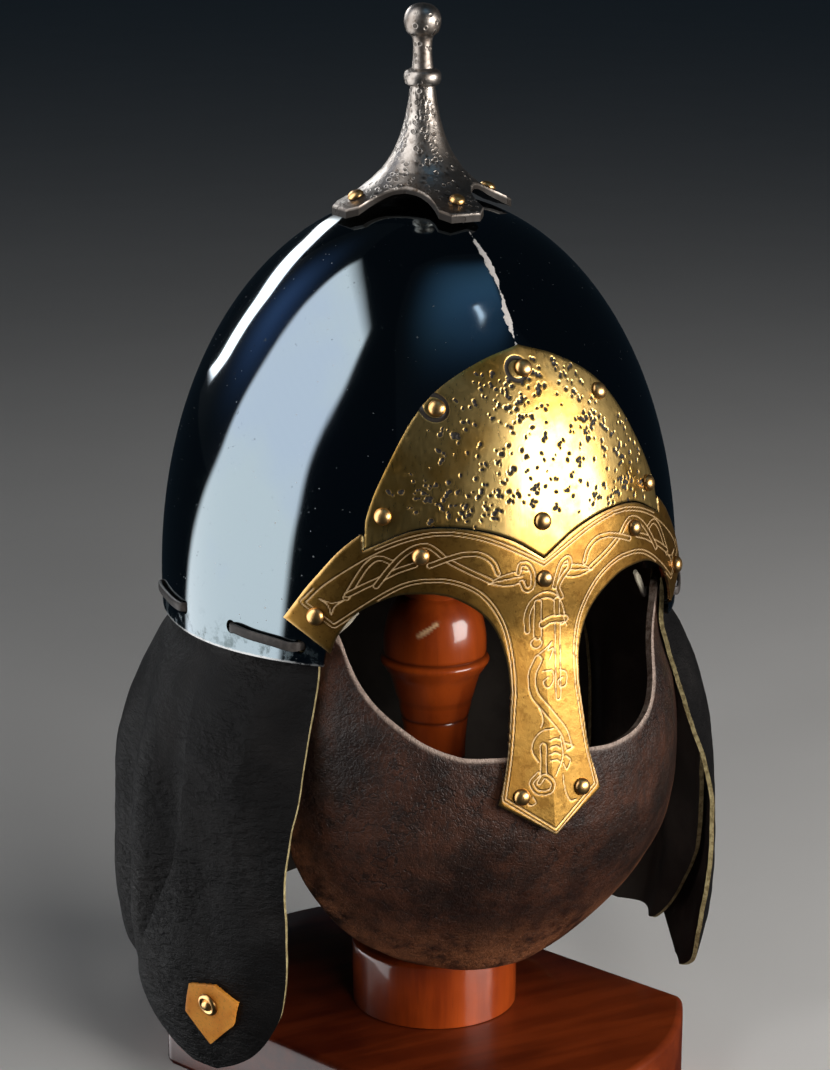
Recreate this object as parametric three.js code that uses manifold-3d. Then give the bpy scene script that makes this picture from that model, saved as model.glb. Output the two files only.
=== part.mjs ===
// A blued steel helmet with brass fittings and a leather aventail, set on a turned wooden stand.
// Millimetres, +Z up, front towards -Y. The helmet's own heights count from its rim plane.
import * as THREE from "three";
import { mergeVertices } from "three/addons/utils/BufferGeometryUtils.js";
import Module from "manifold-3d";

const wasm = await Module();
wasm.setup();

// Height of the rim plane over the table, and how far the post stands off the helmet's axis
const RIM_HEIGHT = 207;
const POST_SHIFT_X = 4.6;
const POST_SHIFT_Y = -2.4;

// Steel bowl
const SKULL_SIDE = 104;
const SKULL_FRONT = 97;
const SKULL_BACK = 110;
const SKULL_TOP = 164;
const SKULL_FULLNESS = 0.06;
const SKULL_WALL = 1.6;
const SKULL_COLUMNS = 40;
const SKULL_ROWS = 9;
const KEEL_HEIGHT = 6;
const KEEL_SPREAD = 0.28;

// Brass sheet
const BRASS_GAP = 0.5;
const BRASS_THICK = 1.4;
const NASAL_ROOT_Y = 97;
const NASAL_LEAN = 0.14;
const NASAL_CREASE = 0.13;
const NASAL_BLEND_TOP = 34;
const NASAL_BLEND_LOW = -5;
const RIVET_RADIUS = 3.4;
const RIVET_HEIGHT = 2.5;
const RIVET_SIDES = 8;
const JOINT_GAP = 0.35;

// Finial
const FINIAL_SIDES = 20;
const LOBE_RIVET_RADIUS = 28.8;

// Leather
const MASK_THICK = 3;
const MASK_SHIFT_X = 0.8;
const MASK_FRONT_POWER = 0.88;
const LEATHER_THICK = 1.8;
const LAPPET_DEPTH = 2.4;
const SIDE_DEPTH = 4.7;
const BACK_DEPTH = 7;
const FOLD_START = -4;
const FOLD_FULL = -70;
const PATCH_THICK = 2.2;
const HOLE_RADIUS = 2.7;
const LACE_HALF_WIDTH = 1.8;
const LACE_HALF_THICK = 0.8;
const LACE_OUTSIDE = 1.5;
const LACE_INSIDE = -11.2;

// Stand
const BASE_HALF_WIDTH = 73;
const BASE_FRONT_RADIUS = 110;
const BASE_BACK_RADIUS = 108;
const BASE_THICK = 31.7;
const BASE_EDGE = 3;
const BASE_TURN = THREE.MathUtils.degToRad(21);
const POST_SIDES = 18;

const steelBlue = new THREE.MeshStandardMaterial({ color: 0x141d2b, roughness: 0.12, metalness: 1 });
const steelGrey = new THREE.MeshStandardMaterial({ color: 0x8a857e, roughness: 0.35, metalness: 1 });
const brassBright = new THREE.MeshStandardMaterial({ color: 0xcaa75a, roughness: 0.28, metalness: 1 });
const brassDark = new THREE.MeshStandardMaterial({ color: 0x9c7a3c, roughness: 0.36, metalness: 1 });
const leatherBrown = new THREE.MeshStandardMaterial({ color: 0x3a251b, roughness: 0.6, metalness: 0 });
const leatherBlack = new THREE.MeshStandardMaterial({ color: 0x1c1b1a, roughness: 0.55, metalness: 0 });
const leatherOchre = new THREE.MeshStandardMaterial({ color: 0xb08a4a, roughness: 0.7, metalness: 0 });
const woodVarnish = new THREE.MeshStandardMaterial({ color: 0x7a2f16, roughness: 0.2, metalness: 0 });

// Front half outline of the eye opening and nasal: across, up
const EYE_EDGE = [
  { across: 74.5, up: 6.0 },
  { across: 71.6, up: 14.5 },
  { across: 65.8, up: 22.8 },
  { across: 55.4, up: 28.8 },
  { across: 46.5, up: 29.9 },
  { across: 36.0, up: 28.4 },
  { across: 25.8, up: 22.3 },
  { across: 19.6, up: 14.8 },
  { across: 15.9, up: 4.5 },
  { across: 14.9, up: -5 },
  { across: 15.1, up: -13 },
  { across: 17.1, up: -31.5 },
  { across: 19.6, up: -43 },
  { across: 22.2, up: -51 },
];
const NASAL_TIP = -64.9;
const BROW_TOP = [
  { across: 0, up: 40.2 },
  { across: 12.4, up: 48.0 },
  { across: 25.0, up: 52.5 },
  { across: 37.0, up: 54.1 },
  { across: 46.3, up: 53.4 },
  { across: 53.2, up: 51.0 },
  { across: 63.9, up: 45.4 },
];
const BROW_ARM = [
  { across: 63.7, up: 51.8 },
  { across: 67.7, up: 48.2 },
  { across: 72.6, up: 42.6 },
  { across: 79.8, up: 31.9 },
  { across: 83.4, up: 25.3 },
  { across: 87.0, up: 18.1 },
];
const PLATE_EDGE = [
  { across: 63.1, up: 46.2 },
  { across: 62.6, up: 52.0 },
  { across: 61.4, up: 58.7 },
  { across: 56.0, up: 71.3 },
  { across: 44.4, up: 90.7 },
  { across: 32.2, up: 103.3 },
  { across: 15.8, up: 112.2 },
  { across: 0, up: 117.2 },
];
const SKULL_EYE_CUT = [
  { across: 75.6, up: -8 },
  { across: 75.4, up: 3 },
  { across: 73.0, up: 13 },
  { across: 67.0, up: 23.6 },
  { across: 56.0, up: 30.6 },
  { across: 46.3, up: 32.0 },
  { across: 34.8, up: 30.4 },
  { across: 24.0, up: 24.0 },
  { across: 17.4, up: 15.6 },
  { across: 13.4, up: 4 },
  { across: 12.8, up: -8 },
];

// Brown mask: half width and reach to the front at each height
const MASK_SECTIONS = [
  { up: 14, wide: 97.4, reach: 93.4 },
  { up: 0, wide: 97.4, reach: 93.6 },
  { up: -10, wide: 97.8, reach: 95.4 },
  { up: -30, wide: 99.0, reach: 101.8 },
  { up: -50, wide: 100.0, reach: 105.0 },
  { up: -65, wide: 100.0, reach: 104.4 },
  { up: -85, wide: 98.7, reach: 98.0 },
  { up: -104, wide: 92.0, reach: 88.0 },
  { up: -118, wide: 81.0, reach: 79.5 },
  { up: -130, wide: 63.5, reach: 72.0 },
  { up: -137, wide: 44.0, reach: 67.5 },
];
const MASK_EDGES = [
  { turn: 0, low: -135.4, high: -34 },
  { turn: 0.17, low: -135.6, high: -33 },
  { turn: 0.37, low: -135.0, high: -33 },
  { turn: 0.45, low: -133.8, high: -30.6 },
  { turn: 0.54, low: -132.0, high: -25 },
  { turn: 0.65, low: -129.0, high: -16 },
  { turn: 0.74, low: -122.0, high: -6 },
  { turn: 0.79, low: -118.0, high: 5 },
  { turn: 0.83, low: -113.0, high: 12 },
  { turn: 0.89, low: -104.0, high: 13 },
  { turn: 1.0, low: -85.0, high: 13 },
  { turn: 1.08, low: -70.0, high: 13 },
];

// Black leather: how far it stands out from the rim at each depth, at a front edge and in the belly of a panel
const FLARE = [
  { up: 14, edge: 0, belly: 0 },
  { up: -1.5, edge: 0, belly: 0 },
  { up: -15, edge: 3, belly: 7 },
  { up: -30, edge: 8, belly: 13.5 },
  { up: -49, edge: 14.5, belly: 18.5 },
  { up: -63, edge: 19, belly: 20.5 },
  { up: -84, edge: 22.5, belly: 21.5 },
  { up: -100, edge: 22.5, belly: 22 },
  { up: -118, edge: 20.5, belly: 22.5 },
  { up: -135, edge: 17.5, belly: 21 },
  { up: -150, edge: 14, belly: 18 },
  { up: -170, edge: 10, belly: 12.5 },
];
const BELLY_FROM = 48;
const BELLY_TO = 63;
const LAPPET_ROWS = [
  { up: 14, from: 48.4, to: 80 },
  { up: -1.5, from: 48.4, to: 80 },
  { up: -15, from: 48.7, to: 79 },
  { up: -30, from: 49.1, to: 77.5 },
  { up: -49, from: 49.2, to: 75.5 },
  { up: -63, from: 50.0, to: 75 },
  { up: -84, from: 50.6, to: 77 },
  { up: -100, from: 50.3, to: 81 },
  { up: -118, from: 50.8, to: 86 },
  { up: -135, from: 52.4, to: 91 },
  { up: -147, from: 55.4, to: 92.5 },
  { up: -157, from: 59.5, to: 90.5 },
  { up: -165, from: 65.5, to: 85 },
  { up: -170, from: 71, to: 78 },
];
const SIDE_ROWS = [
  { up: 14, from: 75, to: 119 },
  { up: -1.5, from: 75, to: 119 },
  { up: -15, from: 75, to: 119.5 },
  { up: -30, from: 74, to: 120 },
  { up: -49, from: 73, to: 121 },
  { up: -63, from: 73, to: 122 },
  { up: -84, from: 73.5, to: 123 },
  { up: -105, from: 74, to: 124 },
  { up: -122, from: 75, to: 123 },
  { up: -136, from: 76.5, to: 119 },
  { up: -148, from: 79, to: 113.5 },
  { up: -156, from: 83, to: 107.5 },
  { up: -160, from: 88, to: 101 },
];
const BACK_ROWS = [
  { up: 14, from: 113, to: 247 },
  { up: -1.5, from: 113, to: 247 },
  { up: -15, from: 113, to: 247 },
  { up: -30, from: 112.5, to: 247.5 },
  { up: -49, from: 112, to: 248 },
  { up: -63, from: 112, to: 248 },
  { up: -84, from: 112, to: 248 },
  { up: -108, from: 113, to: 247 },
  { up: -130, from: 115, to: 245 },
  { up: -145, from: 119, to: 241 },
  { up: -155, from: 125, to: 235 },
  { up: -161, from: 133, to: 227 },
];
const LAPPET_FOLDS = [
  { turn: 48, out: 0 },
  { turn: 66, out: 0 },
  { turn: 78, out: 2.2 },
  { turn: 92, out: 3.6 },
];
const SIDE_FOLDS = [
  { turn: 72, out: -1 },
  { turn: 83, out: -5 },
  { turn: 95.5, out: 2.4 },
  { turn: 104.5, out: -3.6 },
  { turn: 116, out: 4.6 },
  { turn: 125, out: 3.5 },
];
const BACK_FOLDS = [
  { turn: 110, out: -1 },
  { turn: 128, out: 3.4 },
  { turn: 141, out: -3.4 },
  { turn: 154, out: 3.4 },
  { turn: 167, out: -3.2 },
  { turn: 180, out: 3.2 },
  { turn: 193, out: -3.2 },
  { turn: 206, out: 3.4 },
  { turn: 219, out: -3.4 },
  { turn: 232, out: 3.4 },
  { turn: 250, out: -1 },
];
const PATCH_OUTLINE = [
  { turn: 72, up: -130.6 },
  { turn: 65.8, up: -127.8 },
  { turn: 60.4, up: -133.2 },
  { turn: 62.1, up: -143.6 },
  { turn: 69.5, up: -156.8 },
  { turn: 74.3, up: -144.2 },
];
const STUD_TURN = 67.3;
const STUD_UP = -136.2;

// Lace holes in order round the back, first at the left end of the rim
const HOLES = [
  { turn: 52.1, up: 6.9 },
  { turn: 70.4, up: 9.6 },
  { turn: 89.3, up: 9.8 },
  { turn: 108.0, up: 9.8 },
  { turn: 128.6, up: 9.8 },
  { turn: 149.2, up: 9.8 },
  { turn: 169.7, up: 9.8 },
  { turn: 190.3, up: 9.8 },
  { turn: 210.8, up: 9.8 },
  { turn: 231.4, up: 9.8 },
  { turn: 252.0, up: 9.8 },
  { turn: 270.7, up: 9.8 },
  { turn: 289.6, up: 9.6 },
  { turn: 307.9, up: 6.9 },
];

// Finial: outer profile from the foot up, then the underside back to the axis
const FINIAL_PROFILE = [
  { out: 0, up: 165.0 },
  { out: 9, up: 164.3 },
  { out: 16, up: 162.9 },
  { out: 23, up: 161.2 },
  { out: 31, up: 159.2 },
  { out: 44, up: 153.6 },
  { out: 44, up: 157.4 },
  { out: 37, up: 161.0 },
  { out: 29, up: 164.4 },
  { out: 22, up: 168.2 },
  { out: 16, up: 173.6 },
  { out: 11.5, up: 180.4 },
  { out: 8.2, up: 188.5 },
  { out: 6.0, up: 197.5 },
  { out: 4.9, up: 205.4 },
  { out: 6.6, up: 206.3 },
  { out: 7.3, up: 208.9 },
  { out: 6.6, up: 211.2 },
  { out: 4.2, up: 212.4 },
  { out: 3.7, up: 218 },
  { out: 4.0, up: 223.8 },
  { out: 6.2, up: 226.2 },
  { out: 7.2, up: 230.2 },
  { out: 6.4, up: 233.8 },
  { out: 3.8, up: 236.3 },
  { out: 0, up: 237.2 },
];
// Plan of one lobe, from the scallop on its left to the scallop on its right: across, outwards
const LOBE_PLAN = [
  { across: -10.2, out: 16.8 },
  { across: -8.6, out: 21.5 },
  { across: -9.0, out: 27.5 },
  { across: -9.6, out: 32.4 },
  { across: -6.2, out: 36.2 },
  { across: 6.2, out: 36.2 },
  { across: 9.6, out: 32.4 },
  { across: 9.0, out: 27.5 },
  { across: 8.6, out: 21.5 },
  { across: 10.2, out: 16.8 },
  { across: 12.6, out: 12.6 },
];

// Post: profile from the foot to the head inside the bowl, heights from the rim plane
const POST_PROFILE = [
  { out: 0, up: -174.9 },
  { out: 34.4, up: -174.9 },
  { out: 34.6, up: -150 },
  { out: 33, up: -146.8 },
  { out: 27, up: -145.4 },
  { out: 20, up: -142 },
  { out: 16, up: -134 },
  { out: 13.6, up: -105 },
  { out: 12.6, up: -70 },
  { out: 13.4, up: -54 },
  { out: 15.4, up: -43.6 },
  { out: 15.0, up: -42.8 },
  { out: 15.8, up: -42 },
  { out: 18.4, up: -33 },
  { out: 21.6, up: -28.4 },
  { out: 22.4, up: -26 },
  { out: 21.2, up: -23.6 },
  { out: 21.0, up: -15 },
  { out: 19.0, up: -6 },
  { out: 15.6, up: 0 },
  { out: 13.4, up: 2 },
  { out: 14.2, up: 5 },
  { out: 13, up: 40 },
  { out: 13, up: 128 },
  { out: 21, up: 140 },
  { out: 23.5, up: 149 },
  { out: 20, up: 155.4 },
  { out: 12, up: 159.4 },
  { out: 0, up: 161.2 },
];

const group = new THREE.Group();
group.name = "slavic_helmet_on_stand";
const helmet = new THREE.Group();
helmet.position.z = RIM_HEIGHT;
group.add(helmet);

// Value between the rows of a table
function along(table, key, value, at) {
  const rows = table;
  const rising = rows[rows.length - 1][key] > rows[0][key];
  for (let i = 0; i + 1 < rows.length; i += 1) {
    const a = rows[i];
    const b = rows[i + 1];
    const inside = rising ? at <= b[key] : at >= b[key];
    if (inside || i + 2 === rows.length) {
      const t = THREE.MathUtils.clamp((at - a[key]) / (b[key] - a[key]), 0, 1);
      return a[value] + (b[value] - a[value]) * t;
    }
  }
  return rows[0][value];
}

// The same with a smooth swing from row to row
function swing(table, key, value, at) {
  for (let i = 0; i + 1 < table.length; i += 1) {
    const a = table[i];
    const b = table[i + 1];
    if (at <= b[key] || i + 2 === table.length) {
      const t = THREE.MathUtils.smoothstep(at, a[key], b[key]);
      return a[value] + (b[value] - a[value]) * t;
    }
  }
  return table[0][value];
}

// Share of the rim's width that the bowl still has at a height
function shareAt(up, top) {
  const t = THREE.MathUtils.clamp(up / top, 0, 0.9999);
  return Math.sqrt(1 - t * t) * (1 + SKULL_FULLNESS * t);
}

// A point of the bowl, grown by some millimetres
function bowl(turn, up, grow) {
  const top = SKULL_TOP + grow;
  const share = shareAt(Math.max(up, 0), top);
  const reach = (Math.cos(turn) > 0 ? SKULL_FRONT : SKULL_BACK) + grow;
  const t = THREE.MathUtils.clamp(up / top, 0, 1);
  const wrapped = Math.abs(Math.atan2(Math.sin(turn), Math.cos(turn)));
  const keel = KEEL_HEIGHT * t * Math.exp(-wrapped / KEEL_SPREAD) * Math.min(1, 2 * share);
  return new THREE.Vector3(
    (SKULL_SIDE + grow) * share * Math.sin(turn),
    -reach * share * Math.cos(turn) - keel,
    up,
  );
}

// The point of a surface moved out along its normal; the surface takes a turn and a height
function lifted(surface, turn, up, lift) {
  const e = 0.002;
  const across = surface(turn + e, up).sub(surface(turn - e, up));
  const rise = surface(turn, up + 0.2).sub(surface(turn, up - 0.2));
  const normal = across.cross(rise).normalize();
  return surface(turn, up).addScaledVector(normal, lift);
}

// Front sheet that follows the bowl and leans forward as the nasal
function brassFace(turn, up) {
  const p = bowl(turn, Math.max(up, 0), 0);
  const side = 1 - THREE.MathUtils.smoothstep(Math.abs(p.x), 20, 42);
  const low = 1 - THREE.MathUtils.smoothstep(up, NASAL_BLEND_LOW, NASAL_BLEND_TOP);
  const nasal = -(NASAL_ROOT_Y + NASAL_LEAN * (NASAL_BLEND_TOP - up)) + NASAL_CREASE * Math.abs(p.x);
  p.y += (nasal + BRASS_GAP + BRASS_THICK - p.y) * low * side;
  p.z = up;
  return p;
}

function solid(geometry) {
  const plain = new THREE.BufferGeometry();
  plain.setAttribute("position", geometry.getAttribute("position"));
  if (geometry.index) {
    plain.setIndex(geometry.index);
  }
  const merged = mergeVertices(plain, 1e-4);
  return new wasm.Manifold(
    new wasm.Mesh({
      numProp: 3,
      vertProperties: new Float32Array(merged.getAttribute("position").array),
      triVerts: new Uint32Array(merged.index.array),
    }),
  );
}

function geometryOf(body) {
  const mesh = body.getMesh();
  const geometry = new THREE.BufferGeometry();
  const positions = new Float32Array(mesh.numVert * 3);
  for (let i = 0; i < mesh.numVert; i += 1) {
    for (let k = 0; k < 3; k += 1) {
      positions[3 * i + k] = mesh.vertProperties[mesh.numProp * i + k];
    }
  }
  geometry.setAttribute("position", new THREE.BufferAttribute(positions, 3));
  geometry.setIndex(new THREE.BufferAttribute(new Uint32Array(mesh.triVerts), 1));
  geometry.computeVertexNormals();
  return geometry;
}

// Geometry from points and triangles, turned so that it faces out
function closedGeometry(points, triangles) {
  let volume = 0;
  for (let i = 0; i < triangles.length; i += 3) {
    const a = points[triangles[i]];
    const b = points[triangles[i + 1]];
    const c = points[triangles[i + 2]];
    volume += a.dot(new THREE.Vector3().crossVectors(b, c));
  }
  const index = [];
  for (let i = 0; i < triangles.length; i += 3) {
    if (volume > 0) {
      index.push(triangles[i], triangles[i + 1], triangles[i + 2]);
    } else {
      index.push(triangles[i], triangles[i + 2], triangles[i + 1]);
    }
  }
  const geometry = new THREE.BufferGeometry().setFromPoints(points);
  geometry.setIndex(index);
  geometry.computeVertexNormals();
  return geometry;
}

// A thick sheet from two grids of the same size
function sheetGeometry(outer, inner) {
  const rows = outer.length;
  const columns = outer[0].length;
  const points = [...outer.flat(), ...inner.flat()];
  const shift = rows * columns;
  const triangles = [];
  const quad = (a, b, c, d) => triangles.push(a, b, c, a, c, d);
  for (let i = 0; i + 1 < rows; i += 1) {
    for (let j = 0; j + 1 < columns; j += 1) {
      const a = i * columns + j;
      const b = a + 1;
      const c = a + columns + 1;
      const d = a + columns;
      quad(a, b, c, d);
      quad(d + shift, c + shift, b + shift, a + shift);
    }
  }
  const edge = [];
  for (let j = 0; j + 1 < columns; j += 1) {
    edge.push(j);
  }
  for (let i = 0; i + 1 < rows; i += 1) {
    edge.push(i * columns + columns - 1);
  }
  for (let j = columns - 1; j > 0; j -= 1) {
    edge.push((rows - 1) * columns + j);
  }
  for (let i = rows - 1; i > 0; i -= 1) {
    edge.push(i * columns);
  }
  for (let k = 0; k < edge.length; k += 1) {
    const a = edge[k];
    const b = edge[(k + 1) % edge.length];
    quad(b, a, a + shift, b + shift);
  }
  return closedGeometry(points, triangles);
}

// A body from rings of equal size with flat ends
function ringGeometry(rings) {
  const sides = rings[0].length;
  const points = rings.flat();
  const triangles = [];
  for (let i = 0; i + 1 < rings.length; i += 1) {
    for (let j = 0; j < sides; j += 1) {
      const a = i * sides + j;
      const b = i * sides + ((j + 1) % sides);
      triangles.push(a, b, b + sides, a, b + sides, a + sides);
    }
  }
  const last = (rings.length - 1) * sides;
  for (let j = 1; j + 1 < sides; j += 1) {
    triangles.push(0, j + 1, j);
    triangles.push(last, last + j, last + j + 1);
  }
  return closedGeometry(points, triangles);
}

// A solid turned about the vertical axis from a profile that starts and ends on the axis
function turned(profile, sides) {
  const points = profile.map((row) => new THREE.Vector2(row.out, row.up));
  const geometry = new THREE.LatheGeometry(points, sides);
  geometry.rotateX(Math.PI / 2);
  return geometry;
}

function prism(outline, near, far) {
  const shape = new THREE.Shape(outline);
  const geometry = new THREE.ExtrudeGeometry(shape, { depth: far - near, bevelEnabled: false });
  geometry.translate(0, 0, near);
  return geometry;
}

// A prism through the front of the helmet from an outline of across and up
function frontPrism(outline) {
  const points = outline.map((row) => new THREE.Vector2(row.across, row.up));
  const geometry = prism(points, 30, 140);
  geometry.rotateX(Math.PI / 2);
  return solid(geometry);
}

function add(parent, name, geometry, material) {
  const mesh = new THREE.Mesh(geometry, material);
  mesh.name = name;
  parent.add(mesh);
  return mesh;
}

const radians = THREE.MathUtils.degToRad;

// Radial drill through rim and leather at one lace hole
function drill(hole) {
  const geometry = new THREE.CylinderGeometry(HOLE_RADIUS, HOLE_RADIUS, 26, 8);
  geometry.rotateX(Math.PI / 2);
  const at = bowl(radians(-hole.turn), hole.up, -6);
  const heading = new THREE.Object3D();
  heading.position.copy(at);
  heading.lookAt(at.x * 2, at.y * 2, at.z);
  heading.updateMatrix();
  geometry.applyMatrix4(heading.matrix);
  return solid(geometry);
}
const drills = HOLES.map(drill);
const drilled = (body) => drills.reduce((rest, hole) => rest.subtract(hole), body);

// Steel bowl with its eye arches and lace holes
function skullGeometry() {
  const loops = [];
  const heights = [];
  for (let i = 0; i <= SKULL_ROWS; i += 1) {
    heights.push(1 - (1 - i / (SKULL_ROWS + 1)) ** 1.8);
  }
  const loop = (share, grow) => {
    const ring = [];
    for (let j = 0; j < SKULL_COLUMNS; j += 1) {
      ring.push(bowl((j / SKULL_COLUMNS) * 2 * Math.PI, share * (SKULL_TOP + grow), grow));
    }
    return ring;
  };
  for (const share of heights) {
    loops.push(loop(share, 0));
  }
  const points = loops.flat();
  const inner = heights.map((share) => loop(share, -SKULL_WALL));
  const shift = points.length;
  points.push(...inner.flat());
  const apex = points.length;
  points.push(new THREE.Vector3(0, 0, SKULL_TOP), new THREE.Vector3(0, 0, SKULL_TOP - SKULL_WALL));
  const triangles = [];
  for (let j = 0; j < SKULL_COLUMNS; j += 1) {
    const k = (j + 1) % SKULL_COLUMNS;
    for (let i = 0; i < SKULL_ROWS; i += 1) {
      const a = i * SKULL_COLUMNS + j;
      const b = i * SKULL_COLUMNS + k;
      const c = b + SKULL_COLUMNS;
      const d = a + SKULL_COLUMNS;
      triangles.push(a, b, c, a, c, d);
      triangles.push(a + shift, c + shift, b + shift, a + shift, d + shift, c + shift);
    }
    const last = SKULL_ROWS * SKULL_COLUMNS;
    triangles.push(last + j, last + k, apex);
    triangles.push(last + shift + k, last + shift + j, apex + 1);
    triangles.push(k, j, j + shift, k, j + shift, k + shift);
  }
  const right = frontPrism(SKULL_EYE_CUT);
  const left = frontPrism(SKULL_EYE_CUT.map((row) => ({ across: -row.across, up: row.up })).reverse());
  const bare = solid(closedGeometry(points, triangles));
  return geometryOf(drilled(bare.subtract(right).subtract(left)));
}
add(helmet, "skull", skullGeometry(), steelBlue);

// Brass sheet cut to an outline
function brassGeometry(outline, reach, low, high, columns, rows) {
  const outer = [];
  const inner = [];
  for (let i = 0; i <= rows; i += 1) {
    const up = low + ((high - low) * i) / rows;
    const outerRow = [];
    const innerRow = [];
    for (let j = 0; j <= columns; j += 1) {
      const turn = -reach + (2 * reach * j) / columns;
      outerRow.push(lifted(brassFace, turn, up, BRASS_GAP + BRASS_THICK));
      innerRow.push(lifted(brassFace, turn, up, BRASS_GAP));
    }
    outer.push(outerRow);
    inner.push(innerRow);
  }
  const body = solid(sheetGeometry(outer, inner));
  return geometryOf(body.intersect(frontPrism(outline)));
}
const browHalf = [...BROW_TOP, ...BROW_ARM, ...EYE_EDGE, { across: 0, up: NASAL_TIP }];
const browOutline = [
  ...browHalf,
  ...browHalf.slice(1, -1).map((row) => ({ across: -row.across, up: row.up })).reverse(),
].reverse();
add(helmet, "brow_nasal", brassGeometry(browOutline, 1.04, -69, 61, 26, 13), brassDark);

const plateLow = BROW_TOP.slice(0, -1).map((row) => ({ across: row.across, up: row.up + 0.6 }));
const plateHalf = [...plateLow, ...PLATE_EDGE];
const plateOutline = [
  ...plateHalf,
  ...plateHalf.slice(1, -1).map((row) => ({ across: -row.across, up: row.up })).reverse(),
];
add(helmet, "forehead_plate", brassGeometry(plateOutline, 0.84, 33, 124, 18, 10), brassBright);

// Domed rivet with a flat seat, pointing along a direction
const RIVET_PROFILE = [
  { out: 0, up: 0 },
  { out: 1, up: 0 },
  { out: 0.92, up: 0.42 },
  { out: 0.6, up: 0.82 },
  { out: 0, up: 1 },
];
function rivet(parent, name, seat, direction, radius = RIVET_RADIUS, height = RIVET_HEIGHT) {
  const profile = RIVET_PROFILE.map((row) => ({ out: row.out * radius, up: row.up * height }));
  const mesh = add(parent, name, turned(profile, RIVET_SIDES), brassBright);
  mesh.position.copy(seat);
  mesh.quaternion.setFromUnitVectors(new THREE.Vector3(0, 0, 1), direction.clone().normalize());
}

function brassRivet(name, turn, up) {
  const seat = lifted(brassFace, turn, up, BRASS_GAP + BRASS_THICK + JOINT_GAP);
  const root = lifted(brassFace, turn, up, 0);
  rivet(helmet, name, seat, seat.clone().sub(root));
}
brassRivet("plate_rivet_top", 0, 109.0);
brassRivet("plate_rivet_bottom", 0, 54.3);
brassRivet("plate_rivet_upper_left", -0.395, 96.6);
brassRivet("plate_rivet_upper_right", 0.395, 96.6);
brassRivet("plate_rivet_lower_left", -0.595, 58.4);
brassRivet("plate_rivet_lower_right", 0.595, 58.4);
brassRivet("brow_rivet_centre", 0, 32.8);
brassRivet("brow_rivet_mid_left", -0.456, 44.0);
brassRivet("brow_rivet_mid_right", 0.456, 44.0);
brassRivet("brow_rivet_end_left", -0.835, 20.0);
brassRivet("brow_rivet_end_right", 0.835, 20.0);
brassRivet("nasal_rivet_left", -0.123, -48.8);
brassRivet("nasal_rivet_right", 0.123, -48.8);

// Finial on its four lobes
function finialGeometry() {
  const outline = [];
  for (let k = 0; k < 4; k += 1) {
    const a = (-k * Math.PI) / 2;
    for (const row of LOBE_PLAN) {
      outline.push(
        new THREE.Vector2(
          row.across * Math.cos(a) - row.out * Math.sin(a),
          row.across * Math.sin(a) + row.out * Math.cos(a),
        ),
      );
    }
  }
  const plan = solid(prism(outline.reverse(), 140, 250));
  return geometryOf(solid(turned(FINIAL_PROFILE, FINIAL_SIDES)).intersect(plan));
}
add(helmet, "finial", finialGeometry(), steelGrey);
const LOBES = [
  { name: "front", x: 0, y: -1 },
  { name: "right", x: 1, y: 0 },
  { name: "back", x: 0, y: 1 },
  { name: "left", x: -1, y: 0 },
];
for (const lobe of LOBES) {
  const up = along(FINIAL_PROFILE.slice(6, 10).reverse(), "out", "up", LOBE_RIVET_RADIUS);
  const lean = new THREE.Vector3(lobe.x * 0.43, lobe.y * 0.43, 1).normalize();
  const seat = new THREE.Vector3(lobe.x * LOBE_RIVET_RADIUS, lobe.y * LOBE_RIVET_RADIUS, up);
  seat.addScaledVector(lean, JOINT_GAP + 0.15);
  rivet(helmet, "finial_rivet_" + lobe.name, seat, lean, 3.2, 2.2);
}

// Brown leather mask
function maskFace(turn, up) {
  const wide = along(MASK_SECTIONS, "up", "wide", up);
  const reach = along(MASK_SECTIONS, "up", "reach", up);
  const square = THREE.MathUtils.smoothstep(-up, 6, 30);
  const forward = reach * Math.cos(turn) ** (1 + (MASK_FRONT_POWER - 1) * square);
  return new THREE.Vector3(wide * Math.sin(turn) + MASK_SHIFT_X * square, -forward, up);
}
function maskGeometry() {
  const turns = MASK_EDGES.map((row) => row.turn);
  const full = [...turns.slice(1).reverse().map((turn) => -turn), ...turns];
  const rows = 8;
  const outer = [];
  const inner = [];
  for (let i = 0; i <= rows; i += 1) {
    const outerRow = [];
    const innerRow = [];
    for (const turn of full) {
      const low = along(MASK_EDGES, "turn", "low", Math.abs(turn));
      const high = along(MASK_EDGES, "turn", "high", Math.abs(turn));
      const up = low + ((high - low) * i) / rows;
      const p = maskFace(turn, up);
      const inward = new THREE.Vector3(-p.x, -p.y, 0).normalize();
      inward.z = THREE.MathUtils.smoothstep(-up, 70, 125) * 0.8;
      inward.normalize();
      outerRow.push(p);
      innerRow.push(p.clone().addScaledVector(inward, MASK_THICK));
    }
    outer.push(outerRow);
    inner.push(innerRow);
  }
  return geometryOf(drilled(solid(sheetGeometry(outer, inner))));
}
add(helmet, "face_mask", maskGeometry(), leatherBrown);

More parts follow.
